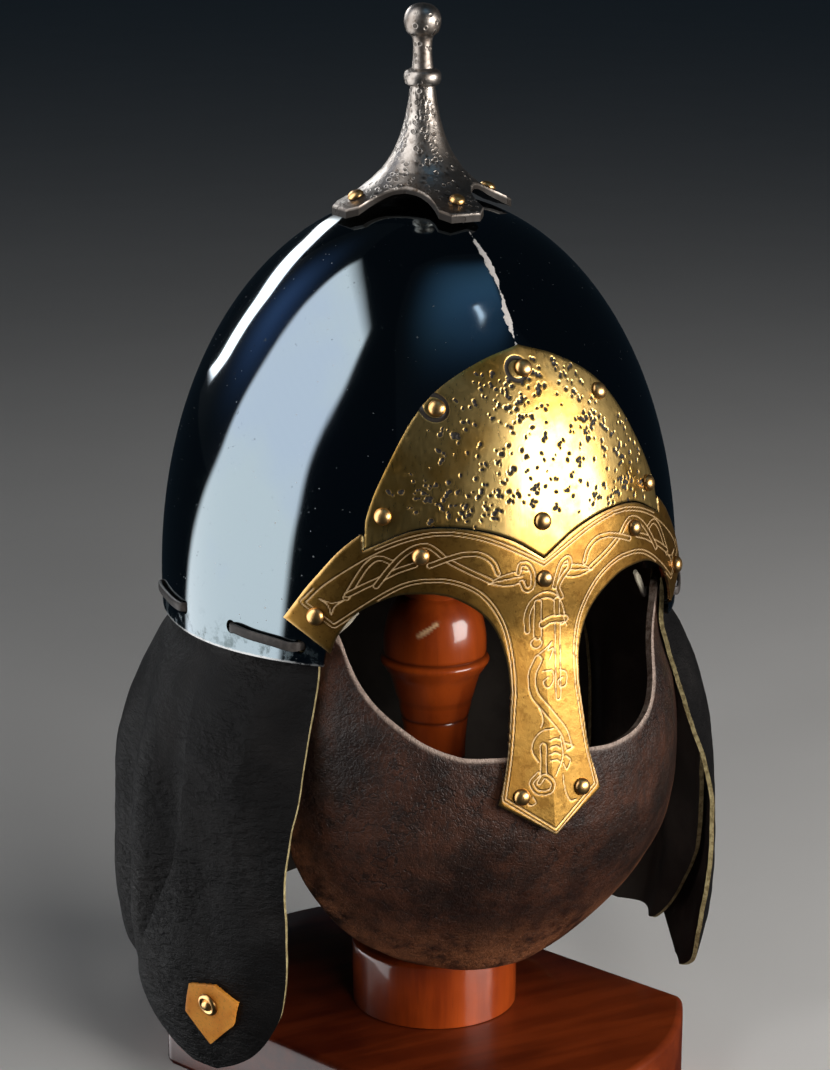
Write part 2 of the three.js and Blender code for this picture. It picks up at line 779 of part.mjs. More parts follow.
// Black leather panels, hung inside the rim
function panelFace(turnDegrees, up, depth, folds, side) {
  const turn = radians(turnDegrees) * side;
  const rim = bowl(turn, Math.max(up, 0), 0);
  const radius = Math.hypot(rim.x, rim.y);
  const depthShare = THREE.MathUtils.smoothstep(-up, -FOLD_START, -FOLD_FULL);
  const edge = along(FLARE, "up", "edge", up);
  const belly = along(FLARE, "up", "belly", up);
  const flare = edge + (belly - edge) * THREE.MathUtils.smoothstep(turnDegrees, BELLY_FROM, BELLY_TO);
  const out = flare + swing(folds, "turn", "out", turnDegrees) * depthShare;
  const grown = radius - depth + out;
  return new THREE.Vector3((rim.x / radius) * grown, (rim.y / radius) * grown, up);
}
function panelGeometry(rows, folds, depth, side, step) {
  const widest = Math.max(...rows.map((row) => row.to - row.from));
  const columns = Math.round(widest / step);
  const outer = [];
  const inner = [];
  for (const row of rows) {
    const outerRow = [];
    const innerRow = [];
    for (let j = 0; j <= columns; j += 1) {
      const turn = row.from + ((row.to - row.from) * j) / columns;
      outerRow.push(panelFace(turn, row.up, depth, folds, side));
      innerRow.push(panelFace(turn, row.up, depth + LEATHER_THICK, folds, side));
    }
    outer.push(outerRow);
    inner.push(innerRow);
  }
  return geometryOf(drilled(solid(sheetGeometry(outer, inner))));
}
add(helmet, "lappet_left", panelGeometry(LAPPET_ROWS, LAPPET_FOLDS, LAPPET_DEPTH, -1, 5), leatherBlack);
add(helmet, "lappet_right", panelGeometry(LAPPET_ROWS, LAPPET_FOLDS, LAPPET_DEPTH, 1, 5), leatherBlack);
add(helmet, "side_panel_left", panelGeometry(SIDE_ROWS, SIDE_FOLDS, SIDE_DEPTH, -1, 4), leatherBlack);
add(helmet, "side_panel_right", panelGeometry(SIDE_ROWS, SIDE_FOLDS, SIDE_DEPTH, 1, 4), leatherBlack);
add(helmet, "back_panel", panelGeometry(BACK_ROWS, BACK_FOLDS, BACK_DEPTH, -1, 5.6), leatherBlack);

// Lace in running stitch: outside between the first two holes, then inside, and so on
function lacePath() {
  const path = [];
  const put = (turn, lift, up) => path.push({ turn, lift, up });
  put(HOLES[0].turn - 11, LACE_INSIDE, HOLES[0].up + 12);
  put(HOLES[0].turn - 7, LACE_INSIDE, HOLES[0].up + 6);
  HOLES.forEach((hole, i) => {
    const ends = i % 2 === 0 ? [LACE_INSIDE, LACE_OUTSIDE] : [LACE_OUTSIDE, LACE_INSIDE];
    const [before, after] = ends;
    const depth = (share) => before + (after - before) * share;
    put(hole.turn - 2.4, before, hole.up);
    put(hole.turn - 0.6, before + Math.sign(after - before) * 0.5, hole.up);
    put(hole.turn, depth(0.25), hole.up);
    put(hole.turn, depth(0.75), hole.up);
    put(hole.turn + 0.6, after - Math.sign(after - before) * 0.5, hole.up);
    put(hole.turn + 2.4, after, hole.up);
    const next = HOLES[i + 1];
    if (next) {
      put((2 * hole.turn + next.turn) / 3, after, (2 * hole.up + next.up) / 3);
      put((hole.turn + 2 * next.turn) / 3, after, (hole.up + 2 * next.up) / 3);
    }
  });
  const last = HOLES[HOLES.length - 1];
  put(last.turn + 7, LACE_INSIDE, last.up + 6);
  put(last.turn + 11, LACE_INSIDE, last.up + 12);
  return path.map((row) => {
    const p = bowl(radians(-row.turn), row.up, 0);
    const outward = new THREE.Vector3(p.x, p.y, 0).normalize();
    return p.addScaledVector(outward, row.lift);
  });
}
function laceGeometry() {
  const path = lacePath();
  const rings = path.map((p, i) => {
    const before = path[Math.max(0, i - 1)];
    const after = path[Math.min(path.length - 1, i + 1)];
    const heading = after.clone().sub(before).normalize();
    const flat = new THREE.Vector3(0, 0, 1).cross(heading).normalize();
    const wide = heading.clone().cross(flat).normalize();
    const ring = [];
    for (let k = 0; k < 6; k += 1) {
      const a = (k / 6) * 2 * Math.PI;
      const q = p.clone().addScaledVector(wide, LACE_HALF_WIDTH * Math.cos(a));
      ring.push(q.addScaledVector(flat, LACE_HALF_THICK * Math.sin(a)));
    }
    return ring;
  });
  return ringGeometry(rings);
}
add(helmet, "lace", laceGeometry(), leatherBlack);

// Patch and stud on the lappet at -X
function patchGeometry() {
  const outer = [];
  const inner = [];
  for (let i = 0; i <= 6; i += 1) {
    const up = -166 + i * 7;
    const outerRow = [];
    const innerRow = [];
    for (let j = 0; j <= 8; j += 1) {
      const turn = 58 + j * 3.4;
      const depth = LAPPET_DEPTH - JOINT_GAP;
      outerRow.push(panelFace(turn, up, depth - PATCH_THICK, LAPPET_FOLDS, -1));
      innerRow.push(panelFace(turn, up, depth, LAPPET_FOLDS, -1));
    }
    outer.push(outerRow);
    inner.push(innerRow);
  }
  const middle = panelFace(STUD_TURN, STUD_UP, LAPPET_DEPTH, LAPPET_FOLDS, -1);
  const outward = new THREE.Vector3(middle.x, middle.y, 0).normalize();
  const sideways = new THREE.Vector3(-outward.y, outward.x, 0);
  const outline = PATCH_OUTLINE.map((row) => {
    const p = panelFace(row.turn, row.up, LAPPET_DEPTH, LAPPET_FOLDS, -1);
    return new THREE.Vector2(p.sub(middle).dot(sideways), row.up);
  });
  const geometry = prism(outline, 80, 150);
  geometry.applyMatrix4(
    new THREE.Matrix4().makeBasis(sideways, new THREE.Vector3(0, 0, 1), outward),
  );
  const shift = middle.dot(sideways);
  geometry.translate(sideways.x * shift, sideways.y * shift, 0);
  return geometryOf(solid(sheetGeometry(outer, inner)).intersect(solid(geometry)));
}
add(helmet, "closure_patch", patchGeometry(), leatherOchre);
const studAt = panelFace(STUD_TURN, STUD_UP, LAPPET_DEPTH, LAPPET_FOLDS, -1);
const studOut = new THREE.Vector3(studAt.x, studAt.y, 0).normalize();
studOut.z = -0.22;
studOut.normalize();
studAt.addScaledVector(studOut, PATCH_THICK + 2.9 * JOINT_GAP);
rivet(helmet, "closure_stud", studAt, studOut, 4.6, 2.6);

// Stand
const postProfile = POST_PROFILE.map((row) => ({ out: row.out, up: row.up + RIM_HEIGHT }));
const post = add(group, "stand_post", turned(postProfile, POST_SIDES), woodVarnish);
post.position.set(POST_SHIFT_X, POST_SHIFT_Y, 0);

// Board with straight sides and two arched ends
function baseGeometry() {
  const half = BASE_HALF_WIDTH - BASE_EDGE;
  const front = BASE_FRONT_RADIUS - BASE_EDGE;
  const back = BASE_BACK_RADIUS - BASE_EDGE;
  const frontAngle = Math.acos(half / front);
  const backAngle = Math.acos(half / back);
  const shape = new THREE.Shape();
  shape.absarc(0, 0, front, Math.PI + frontAngle, 2 * Math.PI - frontAngle, false);
  shape.absarc(0, 0, back, backAngle, Math.PI - backAngle, false);
  shape.closePath();
  const geometry = new THREE.ExtrudeGeometry(shape, {
    depth: BASE_THICK - 2 * BASE_EDGE,
    curveSegments: 10,
    bevelThickness: BASE_EDGE,
    bevelSize: BASE_EDGE,
    bevelSegments: 1,
  });
  geometry.translate(0, 0, BASE_EDGE);
  geometry.rotateZ(BASE_TURN);
  return geometry;
}
add(group, "stand_base", baseGeometry(), woodVarnish);

export default group;
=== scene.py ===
"""A blued steel helmet with brass fittings and a leather aventail, on a turned wooden stand.

Sizes are millimetres in the helmet's own frame: heights count from the rim plane, the front looks
towards -Y, and a turn is an angle about the upright axis that starts at the front.
"""

import logging
import math
import random
from contextlib import contextmanager
from dataclasses import dataclass
from enum import Enum
from typing import Any, Iterator, Sequence

import bpy
import numpy as np
from mathutils import Matrix, Vector, noise


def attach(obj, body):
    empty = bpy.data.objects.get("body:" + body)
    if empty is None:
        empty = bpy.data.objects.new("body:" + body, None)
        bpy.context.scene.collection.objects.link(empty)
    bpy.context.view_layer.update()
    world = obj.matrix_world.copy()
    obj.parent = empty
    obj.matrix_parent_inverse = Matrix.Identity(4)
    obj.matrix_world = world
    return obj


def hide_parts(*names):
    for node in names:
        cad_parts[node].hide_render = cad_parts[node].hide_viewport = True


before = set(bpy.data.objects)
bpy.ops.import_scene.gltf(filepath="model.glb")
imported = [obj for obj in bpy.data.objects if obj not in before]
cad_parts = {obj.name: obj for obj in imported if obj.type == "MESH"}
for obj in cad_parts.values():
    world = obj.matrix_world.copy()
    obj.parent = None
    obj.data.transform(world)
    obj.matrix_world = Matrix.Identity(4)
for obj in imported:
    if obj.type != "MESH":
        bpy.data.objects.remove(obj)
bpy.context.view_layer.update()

Array = np.ndarray
Piece = bpy.types.Object
Point = tuple[float, float]
Line = tuple[Point, ...]
Borders = tuple[Line, Line]
Triple = tuple[float, float, float]
Rows = tuple[Triple, ...]
Colour = Triple

LOG = logging.getLogger("helmet")
MM = 0.001
RIM_HEIGHT = 207.0
BODY = "root"
TINY = 1e-6


class Slot(Enum):
    """The material slots."""

    BLUED_STEEL = "blued_steel"
    PITTED_STEEL = "pitted_steel"
    BRIGHT_BRASS = "bright_brass"
    ENGRAVED_BRASS = "engraved_brass"
    BROWN_LEATHER = "brown_leather"
    BLACK_LEATHER = "black_leather"
    OCHRE_LEATHER = "ochre_leather"
    VARNISHED_WOOD = "varnished_wood"


class Side(Enum):
    """Which side of the helmet a mirrored piece is on, as the sign of its X."""

    LEFT = -1
    RIGHT = 1


# Numbers and curves


def smoothstep(value: Array, low: float, high: float) -> Array:
    """Eased share of the way from low to high, from 0 to 1."""
    share = np.clip((np.asarray(value, float) - low) / (high - low), 0.0, 1.0)
    return share * share * (3.0 - 2.0 * share)


def eased(keys: Sequence[float], values: Sequence[float], at: Array) -> Array:
    """Smooth curve through a table's rows that never overshoots them.

    Args:
        keys: Where the rows are, rising.
        values: The rows' values.
        at: Where to read the curve.

    Returns:
        The curve's values.
    """
    x, y = np.asarray(keys, float), np.asarray(values, float)
    step = np.diff(x)
    slope = np.diff(y) / step
    tangent = np.empty_like(y)
    tangent[0], tangent[-1] = slope[0], slope[-1]
    same = slope[:-1] * slope[1:] > 0
    mean = 2.0 * slope[:-1] * slope[1:] / np.where(same, slope[:-1] + slope[1:], 1.0)
    tangent[1:-1] = np.where(same, mean, 0.0)
    at = np.clip(np.asarray(at, float), x[0], x[-1])
    k = np.clip(np.searchsorted(x, at, side="right") - 1, 0, len(step) - 1)
    t = (at - x[k]) / step[k]
    return (
        y[k] * (1 + 2 * t) * (1 - t) ** 2
        + tangent[k] * step[k] * t * (1 - t) ** 2
        + y[k + 1] * t * t * (3 - 2 * t)
        + tangent[k + 1] * step[k] * t * t * (t - 1)
    )


def curve_through(points: Sequence[Point], step: float = 0.8) -> Array:
    """Rounded line through points, ends included.

    Args:
        points: Two or more points.
        step: Rough spacing of the line's own points.

    Returns:
        The line's points, one row each.
    """
    p = np.asarray(points, float)
    if len(p) == 2:
        count = max(2, int(np.linalg.norm(p[1] - p[0]) / step) + 1)
        return np.linspace(p[0], p[1], count)
    ghost = np.vstack([2 * p[0] - p[1], p, 2 * p[-1] - p[-2]])
    line = []
    for a, b, c, d in zip(ghost, ghost[1:], ghost[2:], ghost[3:]):
        count = max(2, int(np.linalg.norm(c - b) / step) + 1)
        t = np.linspace(0.0, 1.0, count, endpoint=False)[:, None]
        square, cube = 2 * a - 5 * b + 4 * c - d, 3 * b - a - 3 * c + d
        line.append(0.5 * (2 * b + (c - a) * t + square * t**2 + cube * t**3))
    return np.vstack([*line, p[-1:]])


def line_distance(at: Array, line: Array, closed: bool = False) -> tuple[Array, Array]:
    """Distance from points to a line, and the nearest points on it.

    Args:
        at: Points, one row each.
        line: The line's points.
        closed: Whether the last point joins the first.

    Returns:
        The distances and the nearest points.
    """
    ends = np.vstack([line, line[:1]]) if closed else line
    best = np.full(len(at), np.inf)
    near = np.zeros_like(at)
    for a, b in zip(ends, ends[1:]):
        way = b - a
        long = float(way @ way)
        if long < 1e-12:
            continue
        share = np.clip((at - a) @ way / long, 0.0, 1.0)
        foot = a + share[:, None] * way
        gap = np.hypot(at[:, 0] - foot[:, 0], at[:, 1] - foot[:, 1])
        closer = gap < best
        best[closer] = gap[closer]
        near[closer] = foot[closer]
    return best, near


def inside(at: Array, outline: Array) -> Array:
    """Which points lie inside a closed outline.

    Args:
        at: Points, one row each.
        outline: The outline's points.

    Returns:
        A mark for each point.
    """
    found = np.zeros(len(at), bool)
    x, y = at[:, 0], at[:, 1]
    for (ax, ay), (bx, by) in zip(outline, np.roll(outline, -1, axis=0)):
        crosses = (ay > y) != (by > y)
        if ay != by:
            found ^= crosses & (x < (bx - ax) * (y - ay) / (by - ay) + ax)
    return found


def mirrored(half: Array) -> Array:
    """Closed outline from a half that starts and ends on the middle line."""
    return np.vstack([half, (half * [-1.0, 1.0])[-2:0:-1]])


def noise_at(points: Array, size: float, seed: float = 0.0) -> Array:
    """Smooth noise of about -1 to 1 at points, with waves of a size in the points' unit."""
    shift = Vector((seed, 1.7 * seed, 0.3 * seed))
    return np.array([noise.noise(Vector(p) / size + shift) for p in points])


# The bowl's shape, which the brass and the leather follow


@dataclass(frozen=True)
class BowlShape:
    """The steel bowl as a surface over turn and height."""

    side: float = 104.0
    front: float = 97.0
    back: float = 110.0
    top: float = 164.0
    fullness: float = 0.06
    keel: float = 6.0
    keel_spread: float = 0.28
    keel_round: float = 0.22
    keel_crisp: float = 0.012
    keel_fade: Point = (100.0, 126.0)
    blend: float = 0.35

    def share(self, up: Array, grow: float = 0.0) -> Array:
        """Share of the rim's width that is left at a height."""
        t = np.clip(np.asarray(up, float) / (self.top + grow), 0.0, 1.0)
        return np.sqrt(np.maximum(1.0 - t * t, 0.0)) * (1.0 + self.fullness * t)

    def point(self, turn: Array, up: Array, grow: float = 0.0) -> Array:
        """Points of the bowl, grown by some millimetres.

        Args:
            turn: Angles from the front, in radians.
            up: Heights over the rim plane.
            grow: How far outside the steel.

        Returns:
            One row of x, y and height each.
        """
        turn, up = np.broadcast_arrays(np.asarray(turn, float), np.asarray(up, float))
        share = self.share(np.maximum(up, 0.0), grow)
        behind = smoothstep(-np.cos(turn), -self.blend, self.blend)
        reach = self.front + (self.back - self.front) * behind + grow
        t = np.clip(up / (self.top + grow), 0.0, 1.0)
        wrapped = np.abs(np.arctan2(np.sin(turn), np.cos(turn)))
        rounding = self.keel_crisp + self.keel_round * (1.0 - smoothstep(up, *self.keel_fade))
        eased_turn = np.hypot(wrapped, rounding) - rounding
        keel = self.keel * t * np.exp(-eased_turn / self.keel_spread) * np.minimum(1.0, 2.0 * share)
        x = (self.side + grow) * share * np.sin(turn)
        return np.stack([x, -reach * share * np.cos(turn) - keel, up], axis=-1)

    def turn_of(self, across: Array, up: Array, grow: float = 0.0) -> Array:
        """Turn of the front point that lies this far across at a height."""
        wide = (self.side + grow) * self.share(np.maximum(up, 0.0), grow)
        return np.arcsin(np.clip(across / np.maximum(wide, TINY), -1.0, 1.0))


@dataclass(frozen=True)
class BrassShape:
    """Outer face of the brass: on the bowl above, leaning forward as a creased nasal below."""

    bowl: BowlShape = BowlShape()
    lift: float = 1.9
    root: float = 97.0
    lean: float = 0.14
    crease: float = 0.13
    blend_low: float = -5.0
    blend_top: float = 34.0
    narrow: float = 20.0
    wide: float = 42.0

    def point(self, across: Array, up: Array, grow: float = 0.0) -> Array:
        """Points of the face, grown outward by some millimetres.

        Args:
            across: Places across, from the middle line.
            up: Heights over the rim plane.
            grow: How far outside the face.

        Returns:
            One row of x, y and height each.
        """
        lift = self.lift + grow
        turn = self.bowl.turn_of(across, up, lift)
        p = self.bowl.point(turn, np.maximum(up, 0.0), lift)
        side = 1.0 - smoothstep(np.abs(across), self.narrow, self.wide)
        low = 1.0 - smoothstep(up, self.blend_low, self.blend_top)
        nasal = -(self.root + self.lean * (self.blend_top - up)) + self.crease * np.abs(across) - grow
        p[..., 1] += (nasal - p[..., 1]) * low * side
        p[..., 2] = up
        return p

    def normal(self, across: float, up: float, span: float = 0.4) -> Vector:
        """Outward direction of the face at one place.

        Args:
            across: How far across it is.
            up: How high it is.
            span: How far to each side the slope is taken.

        Returns:
            A direction of unit length.
        """
        both = np.array([span, -span])
        beside = self.point(across + both, np.full(2, up))
        along = self.point(np.full(2, across), up + both)
        return Vector(np.cross(beside[0] - beside[1], along[0] - along[1])).normalized()


BOWL = BowlShape()
BRASS = BrassShape()


# Meshes by operators


class Bench:
    """Mesh work that several pieces share."""

    @staticmethod
    def clear() -> None:
        """Deselects everything and leaves edit mode."""
        if bpy.context.object is not None and bpy.context.object.mode != "OBJECT":
            bpy.ops.object.mode_set(mode="OBJECT")
        bpy.ops.object.select_all(action="DESELECT")

    @staticmethod
    def take(piece: Piece) -> None:
        """Makes one piece the only one selected, and the active one.

        Args:
            piece: The piece.
        """
        Bench.clear()
        piece.select_set(True)
        bpy.context.view_layer.objects.active = piece

    @staticmethod
    @contextmanager
    def editing(piece: Piece) -> Iterator[None]:
        """Edit mode on one piece, which starts with all of it selected.

        Args:
            piece: The piece.
        """
        Bench.take(piece)
        bpy.ops.object.mode_set(mode="EDIT")
        bpy.ops.mesh.select_all(action="SELECT")
        yield
        bpy.ops.object.mode_set(mode="OBJECT")

    @staticmethod
    def add(name: str, data: Any) -> Piece:
        """Puts new data into the scene.

        Args:
            name: The new object's name.
            data: Its mesh, lamp or camera.

        Returns:
            The object.
        """
        piece = bpy.data.objects.new(name, data)
        bpy.context.scene.collection.objects.link(piece)
        return piece

    @staticmethod
    def grid(name: str, columns: int, rows: int) -> Piece:
        """A flat grid of quads over -1 to 1 each way.

        Args:
            name: Its name.
            columns: How many quads across.
            rows: How many quads up.

        Returns:
            The grid.
        """
        Bench.clear()
        bpy.ops.mesh.primitive_grid_add(x_subdivisions=columns, y_subdivisions=rows, size=2.0)
        piece = bpy.context.object
        piece.name = name
        piece.data.name = name
        return piece

    @staticmethod
    def places(piece: Piece) -> Array:
        """A piece's vertices, one row each.

        Args:
            piece: The piece.

        Returns:
            The vertices.
        """
        flat = np.empty(len(piece.data.vertices) * 3, np.float32)
        piece.data.vertices.foreach_get("co", flat)
        return flat.reshape(-1, 3).astype(float)

    @staticmethod
    def shares(piece: Piece) -> Array:
        """How far across and up a fresh grid each vertex is, from 0 to 1."""
        return (Bench.places(piece)[:, :2].T + 1) / 2

    @staticmethod
    def steps(piece: Piece, columns: int, rows: int) -> tuple[Array, Array]:
        """Which column and row of a fresh grid each vertex is on."""
        across, up = Bench.shares(piece)
        return np.rint(across * columns).astype(int), np.rint(up * rows).astype(int)

    @staticmethod
    def place(piece: Piece, points: Array) -> None:
        """Moves a piece's vertices."""
        piece.data.vertices.foreach_set("co", np.asarray(points, np.float32).ravel())
        piece.data.update()

    @staticmethod
    def settle(piece: Piece, points: Array) -> None:
        """Moves a piece's vertices to points in millimetres over the rim plane."""
        Bench.place(piece, (points + [0.0, 0.0, RIM_HEIGHT]) * MM)

    @staticmethod
    def faces(piece: Piece) -> Array:
        """A quad mesh's corners.

        Args:
            piece: The piece.

        Returns:
            The four vertices of each face, one row each.
        """
        corners = np.empty(len(piece.data.loops), np.int32)
        piece.data.loops.foreach_get("vertex_index", corners)
        return corners.reshape(-1, 4)

    @staticmethod
    def drop_faces(piece: Piece, dropped: Array) -> None:
        """Deletes faces, with the edges and vertices that they leave loose.

        Args:
            piece: The piece.
            dropped: A mark for each face to delete.
        """
        Bench.take(piece)
        mesh = piece.data
        for part in (mesh.vertices, mesh.edges):
            part.foreach_set("select", np.zeros(len(part), bool))
        mesh.polygons.foreach_set("select", dropped)
        bpy.ops.object.mode_set(mode="EDIT")
        bpy.ops.mesh.select_mode(type="FACE")
        bpy.ops.object.mode_set(mode="OBJECT")
        mesh.polygons.foreach_set("select", dropped)
        bpy.ops.object.mode_set(mode="EDIT")
        bpy.ops.mesh.delete(type="FACE")
        bpy.ops.object.mode_set(mode="OBJECT")

    @staticmethod
    def weld(piece: Piece, reach: float = TINY, outward: bool = True) -> None:
        """Merges vertices that meet.

        Args:
            piece: The piece.
            reach: How close they are, in metres.
            outward: Whether all faces are turned outward as well.
        """
        with Bench.editing(piece):
            bpy.ops.mesh.remove_doubles(threshold=reach)
            if outward:
                bpy.ops.mesh.normals_make_consistent(inside=False)

    @staticmethod
    def flip(piece: Piece) -> None:
        """Turns every face round."""
        with Bench.editing(piece):
            bpy.ops.mesh.flip_normals()

    @staticmethod
    def dress(
        piece: Piece, crisp: float, *finishes: "Finish", wall: float = 0.0, back: int = 0, rim: int = 0
    ) -> None:
        """Gives a piece its materials, its wall where it is a sheet, and its shading.

        Args:
            piece: The piece.
            crisp: Edges over this angle in degrees stay sharp.
            finishes: The materials, in the order of the piece's material places.
            wall: A sheet's thickness in millimetres, away from its face.
            back: How many material places on the far side's finish is.
            rim: How many material places on the cut edge's finish is.
        """
        piece.data.materials.clear()
        for finish in finishes:
            piece.data.materials.append(finish.material())
        Bench.take(piece)
        if wall:
            step = piece.modifiers.new("Wall", "SOLIDIFY")
            step.thickness = wall * MM
            step.offset = -1.0
            step.use_rim = True
            step.material_offset = back
            step.material_offset_rim = rim
            bpy.ops.object.modifier_apply(modifier=step.name)
        bpy.ops.object.shade_smooth_by_angle(angle=math.radians(crisp))

    @staticmethod
    def mark(piece: Piece, name: str, values: Array) -> None:
        """Keeps one number for each vertex, for a finish to read."""
        layer = piece.data.attributes.new(name, "FLOAT", "POINT")
        layer.data.foreach_set("value", np.asarray(values, np.float32))

    @staticmethod
    def spun(name: str, profile: Array, steps: int) -> Piece:
        """Solid spun about the upright axis.

        Args:
            name: Its name.
            profile: Radius and height along it, in millimetres.
            steps: How many steps go round.

        Returns:
            The solid.
        """
        Bench.clear()
        mesh = bpy.data.meshes.new(name)
        points = [(r * MM, 0.0, z * MM) for r, z in profile]
        mesh.from_pydata(points, [(i, i + 1) for i in range(len(points) - 1)], [])
        piece = Bench.add(name, mesh)
        with Bench.editing(piece):
            bpy.ops.mesh.spin(steps=steps, angle=2 * math.pi, center=(0, 0, 0), axis=(0, 0, 1))
        Bench.weld(piece)
        return piece

    @staticmethod
    def done(piece: Piece, slot: Slot, node: str) -> None:
        """Hangs a piece on the frame and logs it.

        Args:
            piece: The piece.
            slot: The material slot that it belongs to; not used.
            node: The CAD node that it stands for.
        """
        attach(piece, BODY)
        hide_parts(node)
        LOG.info("%s: %d faces for %s", piece.name, len(piece.data.polygons), node)


def cut_flat(name: str, outline: Array, corners: Sequence[Point], step: float) -> Piece:
    """Fine flat grid cut to an outline, with its edge drawn onto the line.

    Args:
        name: The piece's name.
        outline: Closed outline of across and up.
        corners: Points of the outline that stay sharp.
        step: Spacing of the grid.

    Returns:
        The piece, with across and up as its X and Y in millimetres.
    """
    low, high = outline.min(axis=0) - step, outline.max(axis=0) + step
    half = math.ceil(max(-low[0], high[0]) / step)
    rows = math.ceil((high[1] - low[1]) / step)
    piece = Bench.grid(name, 2 * half, rows)
    at = Bench.places(piece)
    flat = np.stack([at[:, 0] * half * step, low[1] + (at[:, 1] + 1) / 2 * rows * step], axis=-1)
    quads = Bench.faces(piece)
    kept = inside(flat[quads].mean(axis=1), outline)
    touched = np.zeros(len(flat), bool)
    left = np.zeros(len(flat), bool)
    touched[quads[kept]] = True
    left[quads[~kept]] = True
    edge = np.flatnonzero(touched & left)
    flat[edge] = line_distance(flat[edge], outline, closed=True)[1]
    for corner in corners:
        nearest = edge[np.argmin(np.hypot(*(flat[edge] - corner).T))]
        flat[nearest] = corner
    Bench.place(piece, np.column_stack([flat, np.zeros(len(flat))]))
    Bench.drop_faces(piece, ~kept)
    return piece


# Finishes


# Finest noise worth having, in waves to the metre, and the dim light all round
FINEST_WAVES = 3600.0
AIR_COLOUR: Colour = (0.42, 0.70, 1.0)
AIR_GLOW = 0.014


class Sock:
    """A shader value that joins Python arithmetic: each operator adds its Math node."""

    def __init__(self, tree: bpy.types.NodeTree, socket: bpy.types.NodeSocket) -> None:
        """Wraps an output socket of a tree."""
        self.tree = tree
        self.socket = socket

    def math(self, operation: str, *others: "Sock | float") -> "Sock":
        """One Math node.

        Args:
            operation: What it does.
            others: What it does it with, after this value.

        Returns:
            The node's output.
        """
        node = self.tree.nodes.new("ShaderNodeMath")
        node.operation = operation
        for place, value in enumerate((self, *others)):
            if isinstance(value, Sock):
                self.tree.links.new(value.socket, node.inputs[place])
            else:
                node.inputs[place].default_value = float(value)
        return Sock(self.tree, node.outputs[0])

    def __add__(self, other: "Sock | float") -> "Sock":
        """This value plus another."""
        return self.math("ADD", other)

    __radd__ = __add__

    def __sub__(self, other: "Sock | float") -> "Sock":
        """This value less another."""
        return self.math("SUBTRACT", other)

    def __rsub__(self, other: float) -> "Sock":
        """A number less this value."""
        return (self * -1.0) + other

    def __mul__(self, other: "Sock | float") -> "Sock":
        """This value times another."""
        return self.math("MULTIPLY", other)

    __rmul__ = __mul__

    def __abs__(self) -> "Sock":
        """This value without its sign."""
        return self.math("ABSOLUTE")

    def over(self, other: "Sock | float") -> "Sock":
        """1 where this value is the larger, else 0."""
        return self.math("GREATER_THAN", other)

    def most(self, other: "Sock | float") -> "Sock":
        """The larger of two values."""
        return self.math("MAXIMUM", other)


